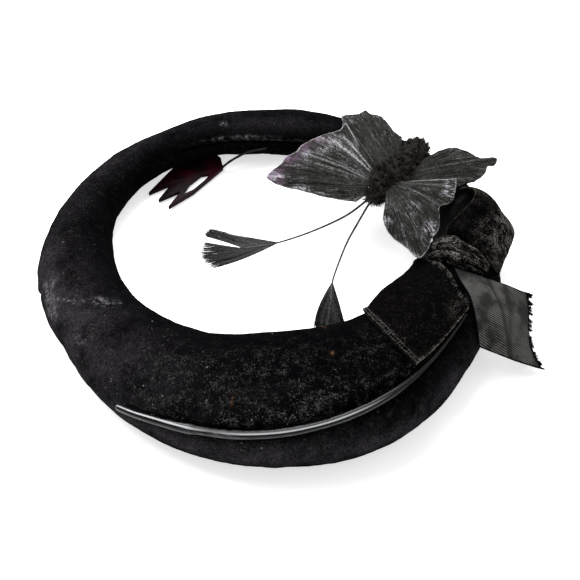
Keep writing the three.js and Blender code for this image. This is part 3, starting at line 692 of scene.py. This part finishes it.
def quill_finish():
    """A glossy black rod: a painted highlight along its top, and painted thin highlight lines beside
    it, scuffed in places.
    """
    made = Finish("quill", (0.002, 0.002, 0.0025), 0.12, 0.18)
    scuff = made.noise(1.0, 4, 0.7, made.stretched((200, 200, 900), made.place))
    # Painted thin highlight lines beside the top, broken up by scuffing.
    made.layer(made.times(made.mask("highlight_lines_and_scuff"), made.step(scuff, 0.35, 0.75, 0.6)), (0.2, 0.2, 0.21))
    # Painted highlight: a pale band along the top of the rod.
    made.layer(made.mask("painted_highlight"), (0.42, 0.435, 0.45))
    made.put(made.surface["Roughness"], made.plus(0.12, made.times(made.mask("dull"), 0.7)))
    made.relief(made.noise(260, 3), 0.00012, 0.5)
    return made.done()


def comb_finish():
    """Dark red mottled plastic."""
    made = Finish("comb", (0.004, 0.0012, 0.002), 0.3, 0.03)
    made.layer(made.step(made.noise(75, 4), 0.44, 0.66), (0.018, 0.002, 0.0045))
    made.relief(made.noise(260, 2), 0.00006, 0.4)
    return made.done()


def floor_finish():
    made = Finish("floor", (0.9, 0.9, 0.9), 0.9, 0.5)
    made.put(made.surface["Emission Color"], (1, 1, 1))
    made.put(made.surface["Emission Strength"], 0.58)
    made.layer(made.noise(3, 2), (0.92, 0.92, 0.92))
    return made.done()


# The padded ring

# How much smaller the cover starts, how far filling may move a point, and the air that fills it.
FILL = {"shrink": 0.15, "cap": 0.9, "pressure": 4.0, "frames": 20, "held_below": 1.5}
SEAM = {"start": 186.0, "turn": 0.176, "width": 0.75, "depth": 0.9, "from": -34, "to": 118}
CREASE = {"rise": 152, "width": 6, "depth": 2.2, "from": 62, "to": 128, "fade": 12}
GROOVE_WIDTH = 7
LIP = {"beyond": 11, "width": 5, "high": 0.5, "uneven": 0.35}
DENT = {"at": 203, "rise": 0, "wide": 6, "high": 26, "depth": 2.0}

# Soft marks on the cover, each a list of spots: plan angle, rise, the two widths, strength.
DUST = [
    (268, 46, 26, 13, 0.75), (286, 54, 16, 12, 0.8), (279, 42, 9, 5, 1.0),
    (247, 68, 16, 20, 0.5), (242, 38, 14, 12, 0.5), (262, 78, 32, 24, 0.3),
    (302, 84, 12, 18, 0.22), (196, 60, 24, 34, 0.18), (270, 12, 60, 20, 0.16),
    (150, 70, 40, 40, 0.12),
]
# Painted sheen: patches where the pile is painted lighter, as if catching the light.
PAINTED_SHEEN = [
    (203, 30, 36, 55, 1.0), (262, 0, 60, 22, 0.95), (258, 56, 24, 18, 0.2),
    (130, 60, 40, 40, 0.35), (95, 100, 26, 26, 0.3), (322, 8, 26, 16, 0.8),
]
# Crushed pile along the seam and in spots; the last two rows paint a sheen along the far inner crease.
CRUSHED_AND_SHEEN = [
    (187.5, 40, 1.6, 11, 1.0), (191, 34, 2.8, 9, 1.0), (196, 26, 2.2, 12, 0.95),
    (201.5, 90, 1.8, 8, 0.75), (204, 98, 2.2, 9, 0.5), (210, 38, 1.6, 4, 0.7),
    (105, 100, 0.7, 7, 0.9), (102, 138, 8, 4, 0.75), (94, 146, 14, 3.5, 0.4),
]
RUST = [(289, 92, 0.4, 1.2, 1.0), (293, 138, 0.4, 6, 0.5), (259.8, 55, 0.2, 3.6, 0.35)]


def fill(piece, held):
    """Fills the cover as its wadding does, by a short cloth simulation, and keeps the result."""
    before = points_of(piece)
    group = piece.vertex_groups.new(name="held")
    group.add(np.flatnonzero(held).tolist(), 1.0, "REPLACE")
    modifier = piece.modifiers.new("fill", "CLOTH")
    modifier.point_cache.frame_end = FILL["frames"]
    cloth = modifier.settings
    cloth.use_pressure = True
    cloth.uniform_pressure_force = FILL["pressure"]
    cloth.effector_weights.gravity = 0.0
    cloth.vertex_group_mass = "held"
    cloth.quality = 4
    for step in range(1, FILL["frames"] + 1):
        SCENE.frame_set(step)
    settle(piece)
    SCENE.frame_set(1)
    moved = points_of(piece) - before
    far = np.maximum(np.linalg.norm(moved, axis=1, keepdims=True), 1e-9)
    move_to(piece, before + moved * np.minimum(1, FILL["cap"] / far))
    piece.vertex_groups.clear()


def from_seam(angle, rise):
    """How far round the ring a point lies from the seam across it."""
    return angle - (SEAM["start"] + SEAM["turn"] * rise)


def roll_relief(points, angle, rise):
    """How far the cover is drawn in or stands out at each point."""
    groove_rise, depth = groove_column("rise", angle), groove_column("depth", angle)
    height = -depth * bump(rise, groove_rise, GROOVE_WIDTH)
    lip = bump(rise, groove_rise + LIP["beyond"], LIP["width"]) * np.minimum(depth, 1)
    height += lip * (LIP["high"] + LIP["uneven"] * cloud(points, 6, 3))
    crease = between(angle, CREASE["from"], CREASE["to"], CREASE["fade"], CREASE["fade"])
    height -= CREASE["depth"] * crease * bump(rise, CREASE["rise"], CREASE["width"])
    height += 0.8 * crease * bump(rise, CREASE["rise"] + 15, 9)
    beside = from_seam(angle, rise)
    run = between(rise, SEAM["from"], SEAM["to"], 20, 25)
    height -= SEAM["depth"] * run * bump(beside, 0, SEAM["width"])
    height -= 1.2 * run * bump(rise, 0, 14) * bump(beside, 0, 1.3)
    pucker = np.sin(np.radians(rise) * 26 + 1.3 * np.sin(angle))
    height += 0.22 * run * pucker * bump(beside, 0, 3.5)
    dent = bump(angle, DENT["at"], DENT["wide"]) * bump(rise, DENT["rise"], DENT["high"])
    height -= DENT["depth"] * dent
    height += 0.6 * cloud(points, 34, 1) + 0.22 * cloud(points, 9, 2)
    return height * smooth(points[:, 2], 0.5, 5)


def patches(angle, rise, rows):
    """The strongest of some soft spots at each point."""
    return np.maximum.reduce([
        strength * bump(angle, at, wide) * bump(rise, up, high)
        for at, up, wide, high, strength in rows
    ])


def ring_cover(material):
    rows, columns = 264, 72
    angle = np.arange(rows) * FULL_TURN / rows
    rise = np.arange(columns) * FULL_TURN / columns
    points = ring_point(angle[:, None], rise[None, :], -FILL["shrink"]).reshape(-1, 3)
    faces = torus_faces(rows, columns)
    piece = make("ring_cover", points, faces, [material])
    fill(piece, points[:, 2] < FILL["held_below"])
    refine(piece)
    points = points_of(piece)
    angle, rise = ring_place(points)
    normals = read(piece.data.vertex_normals, "vector")
    lifted = points + normals * roll_relief(points, angle, rise)[:, None]
    lifted[:, 2] = np.maximum(lifted[:, 2], 0.0)
    move_to(piece, lifted)
    above_quill = bump(rise, groove_column("rise", angle) + 9, 5) * smooth(angle, 228, 240)
    dust = np.maximum(0.05 + patches(angle, rise, DUST), 0.85 * above_quill)
    add_mask(piece, "dust", np.clip(dust, 0, 1))
    add_mask(piece, "painted_sheen", np.clip(0.015 + patches(angle, rise, PAINTED_SHEEN), 0, 1))
    stitched = 0.55 + 0.45 * (np.sin(np.radians(rise) * 40) > -0.2)
    dashes = bump(from_seam(angle, rise), 0, 0.6) * stitched * (rise > 5) * (rise < 112)
    add_mask(piece, "crushed_and_sheen", np.maximum(patches(angle, rise, CRUSHED_AND_SHEEN), dashes))
    add_mask(piece, "rust", patches(angle, rise, RUST))
    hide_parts("ring_roll")


def quill(material):
    steps, sides = 240, 40
    share = ramp(steps)
    sunk = groove_column("depth", QUILL["at"]) * 0.8
    seats = ring_point(QUILL["at"], QUILL["rise"], QUILL["radius"] + SEAT - sunk)
    line = along(seats, share)
    nub = 0.33 * bump(share, 0.2594, 0.01674)
    radius = along(QUILL["radius"], share) * (1 + 0.02 * np.sin(share * 61)) + nub
    length = np.concatenate([[0], np.cumsum(np.linalg.norm(np.diff(line, axis=0), axis=1))])
    blunt = np.clip(length / 1.6, 0, 1)
    radius = radius * np.sqrt(np.maximum(1 - (1 - blunt) ** 2, 0.02))
    turn = (np.arange(sides) * FULL_TURN / sides)[None, :]
    share = share[:, None]
    # The painted highlight band: its place round the section, and how it fades along the rod.
    middle = 60 + 20 * (1 - smooth(share, 0.1, 0.3))
    painted_highlight = 1 - smooth(abs(turn - middle), 6, 15)
    painted_highlight = painted_highlight * (1 - smooth(share, 0.52, 0.66)) * (1 - 0.75 * bump(share, 0.315, 0.035))
    # Painted thin highlight lines round the section, fainter on the far end, and a lighter patch by the
    # nub.
    highlight_lines_and_scuff = 0.9 * bump(turn, 112, 7) + 0.75 * bump(np.minimum(turn, FULL_TURN - turn), 8, 9)
    far = smooth(share, 0.56, 0.68)
    highlight_lines_and_scuff = highlight_lines_and_scuff * (1 - far) + 0.08 * bump(turn, 84, 6) * far
    highlight_lines_and_scuff = highlight_lines_and_scuff + 0.8 * bump(share, 0.31, 0.05) * bump(turn, 50, 45)
    piece = tube("bare_quill", line, radius, material, sides)
    add_mask(piece, "painted_highlight", painted_highlight)
    add_mask(piece, "highlight_lines_and_scuff", np.minimum(highlight_lines_and_scuff, 1))
    add_mask(piece, "dull", np.repeat(smooth(share, 0.6, 0.72), sides))
    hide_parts("quill")


# The ribbon

def ribbon_band(materials):
    share, part = shares(74, 62)
    corner = (1 - smooth(share, 0, 0.14)) * (1 - smooth(part, 0, 0.2))
    rise = along(BAND["rise"], part) - 17 * corner
    angle = along(BAND["start"], part) * (1 - share) + along(BAND["end"], part) * share
    inner = smooth(rise, BAND_PROUD["from"], BAND_PROUD["from"] + BAND_PROUD["over"])
    bridge = BAND_PROUD["lift"] * inner * smooth(share, 0, BAND_PROUD["reach"])
    rough = ring_point(angle, rise, SEAT + VELVET / 2 + bridge)
    ripple = np.maximum(0.35 * cloud(rough, 12, 5), -0.2)
    gather = 0.5 * smooth(share, 0.75, 1) * np.sin(part * 26 + 3 * share)
    hem = 0.35 * bump(share, 0.03, 0.025) - 0.3 * bump(share, 0.075, 0.012)
    hem = hem * smooth(part, 0.12, 0.3) + 0.7 * bump(share, 0.955, 0.03)
    away = np.maximum(SEAT + VELVET / 2 + bridge + ripple + gather + hem, VELVET / 2 + 0.3)
    grid = ring_point(angle, rise, away - 1.2 * corner)
    bound_end, bound_side = smooth(share, 0.935, 0.965), smooth(part, 0.95, 0.98)
    creased = 0.25 * bump(part, 0.86, 0.06) * bump(share, 0.8, 0.1)
    turned = 0.35 * bump(share, 0.045, 0.03)
    inner_edge = 0.4 * bump(part, 0.01, 0.03) * (1 - smooth(share, 0.35, 0.6))
    masks = {
        "rubbed_and_sheen": 0.01 + 0.7 * bound_end + creased + 0.7 * bound_side + turned + inner_edge,
        "dust": 0.12 + 0.14 * bump(part, 0.75, 0.2),
        "selvedge": np.maximum(smooth(share, 0.95, 0.98), bound_side),
    }
    piece = sheet("ribbon_across_ring", grid, VELVET, materials[::-1], masks)
    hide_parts("ribbon_band")


def band_stitches(material):
    """Two rows of stitches along the ribbon's turned end."""
    lines = []
    draw = np.random.default_rng(5)
    for row_at in (0.024, 0.062):
        for part in np.arange(0.05, 0.97, 0.024):
            steps = ramp(5)
            edge = row_at + draw.uniform(-0.004, 0.004)
            place = part + 0.016 * steps + draw.uniform(-0.003, 0.003)
            start, end = along(BAND["start"], place), along(BAND["end"], place)
            off = SEAT + VELVET + 0.28 + 0.2 * np.sin(np.pi * steps)
            lines.append(ring_point(start + (end - start) * edge, along(BAND["rise"], place), off))
    tones = np.random.default_rng(4).random(len(lines))
    strands("band_stitches", np.array(lines), 0.2, 0.16, material, tones)


def knot(materials):
    share, part = shares(72, 52)
    rise, middle, half, high = (along(KNOT[key], share) for key in ("rise", "middle", "half", "high"))
    side = 2 * part - 1
    turn = np.pi * (0.5 + 0.5 * side)
    arch = np.sin(turn) ** 0.55
    drift = 0.25 * np.sin(share * 5 + 0.6)
    folds = 0.1 * np.sin(8.5 * (side + drift)) + 0.08 * np.sin(17 * side - 5 * share + 1)
    folds = folds + 0.07 * np.sin(27 * side + 7 * share + 2 * np.sin(share * 9))
    swell = (high - VELVET) * arch * (1 + folds * np.minimum(1, 3 * arch ** 3))
    angle = middle - half * np.cos(turn) * (1 + 0.05 * folds)
    grid = ring_point(angle, rise, SEAT + VELVET / 2 + 0.1 + swell)
    masks = {
        # Painted sheen along the tops of the knot's folds, fading where the loop shades the knot's
        # outer end.
        "rubbed_and_sheen": np.clip(0.4 + 6.5 * folds, 0, 1) * (1 - 0.5 * smooth(share, 0.45, 0.95)),
        "dust": 0 * share + 0.5,
        "selvedge": 0 * share,
    }
    piece = sheet("ribbon_knot", grid, VELVET, materials, masks)
    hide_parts("knot")


def bow_loop(materials):
    share, part = shares(104, 40)
    row = {key: along(LOOP[key], share) for key in LOOP}
    angle = row["inner_at"] * (1 - part) + row["outer_at"] * part
    rise = row["inner_rise"] * (1 - part) + row["outer_rise"] * part
    inner, middle, outer = (row[key] for key in ("inner_off", "middle_off", "outer_off"))
    first = spline(inner, inner, middle, outer, np.minimum(part * 2, 1))
    second = spline(inner, middle, outer, outer, np.maximum(part * 2 - 1, 0))
    off = np.where(part <= 0.5, first, second)
    upper = smooth(share, 0.45, 0.7)
    crush = 0.5 * np.sin(part * 9 + 5 * share) * upper * smooth(share, 0.6, 1.0)
    grid = ring_point(angle, rise, off + crush)
    grid = grid + (0.35 * upper * cloud(grid, 10, 8))[..., None]
    # The inside of the loop is painted into shade, all but a grey sliver where its back is lit, with
    # faint paler fold lines.
    sliver = 0.9 * bump(part, 0.17 + 0.55 * (0.38 - share), 0.04)
    sliver = sliver * between(share, 0.17, 0.42, 0.05, 0.06)
    crushed_and_sheen = 0.85 * smooth(part, 0.22, 0.5) * bump(share, 0.7, 0.2)
    masks = {
        "rubbed_and_sheen": 0.05 + crushed_and_sheen + 0.45 * bump(share, 0.56, 0.05),
        "dust": 0.15 + 0.35 * part,
        "selvedge": 0 * share + 0.15,
        "shaded": 1 - sliver - 0.12 * bump(np.sin(part * 60), 1, 0.4),
    }
    piece = sheet("ribbon_loop", grid, VELVET, materials, masks)
    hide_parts("bow_loop")


TAIL_WALL = 1.1
TAIL_CUT = 0.945                 # where the weave ends, along its whole length


def tail_point(share, part):
    """A point of the loose end: share along it, part across it."""
    root = along(ring_point(TAIL_ROOT["at"], TAIL_ROOT["rise"], SEAT + VELVET), part)
    mid, tip = along(TAIL_MIDDLE, part), along(TAIL_TIP, part)
    share = share[..., None]
    return root * (1 - share) ** 2 + 2 * mid * share * (1 - share) + tip * share ** 2


def ribbon_tail(materials):
    share, part = shares(60, 62)
    grid = tail_point(TAIL_CUT * share, part)
    wave = 0.5 * np.sin(7 * part + 2.5 * share) * smooth(share, 0.15, 0.6)
    wave = wave + 0.35 * cloud(grid, 11, 9)
    grid = grid + grid_normals(grid) * (wave * smooth(share, 0.05, 0.3))[..., None]
    # Painted shade in bands across the loose end, and darker towards its tip.
    fold_shade = bump(share, 0.42 + 0.1 * part, 0.05) + 0.8 * bump(share, 0.66 - 0.12 * part, 0.05)
    fold_shade = fold_shade + 0.7 * smooth(share, 0.7, 1) + 0.6 * bump(share, 0.25, 0.06) * part
    masks = {
        "rubbed_and_sheen": 0.2 * share, "dust": 0.3 * share, "selvedge": 0 * share,
        "shaded": 0.7 * np.clip(fold_shade, 0, 1),
    }
    return sheet("ribbon_loose_end", grid, TAIL_WALL, materials, masks)


def tail_fray(material):
    """Loose threads and pile past the cut edge, in tufts."""
    draw = np.random.default_rng(11)
    count, steps = 2800, 4
    part = draw.random(count)
    tuft = smooth(np.sin(part * 120 + 3 * np.sin(part * 31)), -0.3, 0.8)
    reach = 1.6 + 3.4 * tuft * (0.45 + 0.55 * draw.random(count)) + 0.5 * draw.random(count)
    reach = (reach * (1.15 - 0.45 * smooth(part, 0.25, 0.8)))[:, None, None]
    edge = tail_point(np.full(count, TAIL_CUT), part)
    heading = unit(edge - tail_point(np.full(count, TAIL_CUT - 0.04), part))[:, None]
    sway = draw.normal(0, 0.16, (count, 3))[:, None]
    step = ramp(steps)[None, :, None]
    rooted = 0.8
    lines = edge[:, None] - heading * rooted + heading * (reach + rooted) * step
    lines = lines + sway * step ** 2 * reach * 0.7
    lines[..., 2] = np.maximum(lines[..., 2], 0.3)
    width = 0.17 * (1 - 0.75 * step[..., 0])
    tones = 0.4 * draw.random(count)
    return strands("frayed_threads", lines, width, width, material, tones)


# The butterfly

def body_point(fore, radius_share, turn):
    """A point of the body: fore, share of its radius, and turn round it."""
    radius = np.interp(fore, BODY["fore"], BODY["radius"]) * radius_share
    side = np.interp(fore, BODY["fore"], BODY["bend"]) + radius * np.cos(turn)
    high = radius * np.sin(turn)
    return BODY_MIDDLE + fore[..., None] * FORE + side[..., None] * LEFT + high[..., None] * UP


def chenille_core(material):
    rows, columns = 90, 44
    fore = np.linspace(BODY["fore"][0], BODY["fore"][-1], rows)
    fore, turn = np.meshgrid(fore, np.arange(columns) * 2 * np.pi / columns, indexing="ij")
    wound = 0.93 + 0.035 * np.sin(fore * 2.4 + turn) + 0.03 * np.sin(turn * 5 + fore)
    points = body_point(fore, wound, turn)
    masks = {"tone": np.full(fore.size, 0.15)}
    piece = make("chenille_core", points, rod_faces(rows, columns), [material], masks)
    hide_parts("butterfly_body")


def chenille_pile(material):
    """The chenille's cut pile, in short tufts that stand out all round."""
    draw = np.random.default_rng(21)
    tufts, each, steps = 940, 10, 3
    fore = draw.uniform(-27, 27.5, tufts)
    turn = draw.uniform(0, 2 * np.pi, tufts)
    tone = np.repeat(np.clip(draw.normal(0.3, 0.28, tufts), 0, 1), each)
    fore = np.repeat(fore, each) + draw.normal(0, 0.35, tufts * each)
    fore = np.clip(fore, BODY["fore"][0], BODY["fore"][-1])
    turn = np.repeat(turn, each) + draw.normal(0, 0.06, tufts * each)
    root = body_point(fore, 0.9, turn)
    out = unit(body_point(fore, 1.3, turn) - root)[:, None]
    lean = np.repeat(draw.normal(0, 0.5, (tufts, 3)), each, 0) + draw.normal(0, 0.25, (tufts * each, 3))
    fluffy = 0.9 + 1.5 * bump(fore, 9, 9) * abs(np.cos(turn)) ** 0.5
    length = (fluffy * (1 + draw.random(tufts * each)))[:, None, None]
    step = ramp(steps)[None, :, None]
    lines = root[:, None] + out * length * step + lean[:, None] * step ** 2 * length
    lines[..., 2] = np.maximum(lines[..., 2], 22.4)
    width = 0.17 * (1 - 0.6 * step[..., 0])
    up = (0.3, 0.2, 0.93)
    strands("chenille_pile", lines, width, width, material, tone, up)


def beside_body(side, place):
    """Points beside the body: out from its line, fore, and height over the surface."""
    point = BODY_MIDDLE + side * place[..., :1] * LEFT + place[..., 1:2] * FORE
    point[..., 2] = place[..., 2]
    return point


def wing(row, material):
    margin = np.array(row["margin"], float)
    gaps = len(margin) - 1
    wide, far = shares(gaps * 6 + 1, 34)
    ray = wide * gaps
    first, last = row["root"]
    start = beside_body(row["side"], (1 - wide[..., None]) * first + wide[..., None] * last)
    end = beside_body(row["side"], along(margin, wide))
    grid = start * (1 - far[..., None]) + end * far[..., None]
    pleat = row["pleat"] * np.cos(np.pi * ray) + 0.16 * np.sin(ray * 9.1) + 0.1 * np.sin(ray * 17)
    camber = np.sin(np.pi * far) * row["camber"] * np.sin(np.pi * wide)
    grid[..., 2] += camber + pleat * smooth(far, 0.05, 0.5)
    grid[..., 2] += 0.5 * cloud(grid, 7, 12) * smooth(far, 0.6, 1)
    ridge = smooth(np.cos(np.pi * ray), 0.3, 1)
    patch = smooth(cloud(grid, 16, 13), -0.25, 0.45)
    frost = 0.35 * patch * (0.4 + far) + 0.4 * ridge * far + 1.1 * smooth(far, 0.55, 1) * patch
    none = 0 * wide
    # Painted highlights along the crests.
    highlight_crests = [
        strength * bump(wide + bend * far, at, thin) for at, bend, thin, strength in row["highlight_crests"]
    ]
    crest = np.maximum.reduce([none, *highlight_crests]) * between(far, 0.02, 0.95, 0.1, 0.2)
    spots = [bump(wide, at, 0.012) * bump(far, out, 0.05) for at, out in row["spots"]]
    tints = [strength * bump(wide, at, 0.055) for at, strength in row["tint"]]
    rim = np.maximum(smooth(far, 0.5, 0.8), row["hem"] * smooth(wide, 0.94, 0.98))
    masks = {
        "frost": np.clip(row["frost"] * frost, 0, 1),
        "tint": np.clip(np.maximum.reduce([none, *tints]) * smooth(far, 0.8, 0.97), 0, 1),
        "ridge": np.maximum.reduce([crest, *spots]),
        "rim": row["frost"] * rim,
    }
    uv = np.stack([wide, far], -1)
    piece = sheet(row["name"] + "_velvet", grid, WING_WALL, [material], masks, uv)
    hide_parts(row["name"])


def antenna(row, barb_material, stem_material):
    stem = np.array(row["stem"], float)
    share = ramp(60)
    first = row["bare"]
    rod = tube(row["name"] + "_stem", along(stem, share), STEM_RADIUS * (1 - 0.45 * share),
               stem_material, 10, {"tone": 0.35 * smooth(share, first, first + 0.1)})
    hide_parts(row["name"])
    draw = np.random.default_rng(31)
    lines = []
    step = ramp(9)
    for bow, barbs, tips in row["lobes"]:
        for place in ramp(barbs):
            root = along(stem, first + (1 - first) * place ** BARB_CROWD)
            line = root + (along(tips, place) - root) * step[:, None]
            line = line + np.outer(np.sin(np.pi * step) * (1 - place), bow)
            line = root + (line - root) * (0.93 + 0.1 * draw.random())
            line = line + np.outer(step ** 2, draw.normal(0, (0.35, 0.35, 0.3)))
            lines.append(line)
    width = 0.26 * (1 - 0.55 * step)[None, :]
    tones = np.clip(draw.normal(row["tone"], 0.38, len(lines)), 0, 1)
    strands(row["name"] + "_barbs", np.array(lines), width, width * 0.45, barb_material,
            tones, (0, 0.25, 1))


# The comb, its tie and the lint

def comb(material):
    piece = frame["nodes"]["comb"].copy()
    piece.data = piece.data.copy()
    piece.name = piece.data.name = "comb_polished"
    del piece["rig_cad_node"]
    SCENE.collection.objects.link(piece)
    plain = bmesh.new()
    plain.from_mesh(piece.data)
    bmesh.ops.remove_doubles(plain, verts=plain.verts, dist=1e-6)
    bmesh.ops.dissolve_limit(plain, angle_limit=0.02, verts=plain.verts, edges=plain.edges)
    plain.to_mesh(piece.data)
    plain.free()
    piece.data.materials.clear()
    piece.data.materials.append(material)
    modifier = piece.modifiers.new("rounded", "BEVEL")
    modifier.width = 0.45 * MM
    modifier.segments = 3
    modifier.limit_method = "ANGLE"
    settle(piece)
    piece.data.shade_smooth()
    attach(piece, BODY_NAME)
    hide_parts("comb")


def comb_tie(material):
    share = ramp(48)
    width = (2.3 - 0.7 * share) * (0.85 + 0.12 * np.sin(share * 30))
    line = along(TIE, share)
    up = (0, 0.3, 0.95)
    piece = strands("comb_tie_tape", line[None], width[None], 0.8, material, 0.0, up)
    refine(piece, 2)
    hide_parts("comb_tie")


def lint(material):
    """Short pale hairs caught in the pile on the front of the ring."""
    draw = np.random.default_rng(51)
    count, steps = 190, 6
    angle = draw.normal(258, 30, count)
    rise = draw.normal(58, 24, count)
    keep = (angle < 305) & (angle > 160) & (rise > -10) & (rise < 118)
    angle, rise = angle[keep][:, None], rise[keep][:, None]
    count = len(angle)
    length = draw.uniform(0.3, 1.5, count)[:, None]
    heading = draw.uniform(0, 2 * np.pi, count)[:, None]
    curl = draw.normal(0, 1.1, count)[:, None]
    step = ramp(steps)[None, :]
    turn = heading + curl * step
    angle = angle + length * 0.52 * step * np.cos(turn)
    rise = rise + length * 1.6 * step * np.sin(turn)
    lines = ring_point(angle, rise, 0.85 + 0.25 * np.sin(np.pi * step))
    strands("lint", lines, 0.05, 0.05, material, draw.random(count))


# Camera, light and floor

# Degrees above the floor, distance and target in millimetres, and the view's width in degrees.
CAMERA = {"high": 48.0, "far": 1000.0, "target": (8, -15, 20), "view": 16.92}
LIT_POINT = (0, 0, 20)
FLOOR_REACH = 4.0                # metres


def placed(point):
    return Vector(((np.array(point, float) + SHIFT) * MM).tolist())


def aim(piece, direction):
    piece.rotation_euler = direction.to_track_quat("-Z", "Y").to_euler()


def camera():
    data = bpy.data.cameras.new("camera")
    data.sensor_fit = "HORIZONTAL"
    data.angle = math.radians(CAMERA["view"])
    data.clip_end = 20
    piece = add_object("camera", data)
    high = math.radians(CAMERA["high"])
    back = Vector((0, -math.cos(high), math.sin(high)))
    piece.location = placed(CAMERA["target"]) + back * CAMERA["far"] * MM
    aim(piece, -back)
    bpy.context.scene.camera = piece


def softbox(name, place, size, power):
    data = bpy.data.lights.new(name, "AREA")
    data.shape = "RECTANGLE"
    data.size, data.size_y = size
    data.energy = power
    piece = add_object(name, data)
    piece.location = placed(place)
    aim(piece, placed(LIT_POINT) - piece.location)


def studio(floor_material):
    mesh = bpy.data.meshes.new("floor")
    near, far = -FLOOR_REACH, FLOOR_REACH
    corners = [(near, near, 0), (far, near, 0), (far, far, 0), (near, far, 0)]
    mesh.from_pydata(corners, [], [(0, 1, 2, 3)])
    mesh.materials.append(floor_material)
    floor = add_object("floor", mesh)
    world = bpy.data.worlds.new("studio")
    world.use_nodes = True
    sky = world.node_tree.nodes["Background"].inputs
    sky["Color"].default_value = (1, 1, 1, 1)
    sky["Strength"].default_value = 0.6
    SCENE.world = world
    SCENE.view_settings.view_transform = "Standard"
    softbox("key", (-420, 380, 900), (1.1, 0.9), 17)
    softbox("strip", (60, 760, 620), (1.2, 0.14), 9)


camera()
studio(floor_finish())
finish = {name: toned(name) for name in TONED}
ribbon = [ribbon_velvet(), ribbon_reverse()]
wing_material = wing_finish()

ring_cover(roll_velvet())
quill(quill_finish())
ribbon_band(ribbon)
band_stitches(finish["thread"])
knot(ribbon)
bow_loop(ribbon)
loose_end = ribbon_tail(ribbon)
frayed = tail_fray(finish["fray"])
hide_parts("ribbon_tail")
chenille_core(finish["chenille"])
chenille_pile(finish["chenille"])
for row in WINGS:
    wing(row, wing_material)
for row in ANTENNAE:
    antenna(row, finish["barb"], finish["stem"])
comb(comb_finish())
comb_tie(finish["tape"])
lint(finish["hair"])
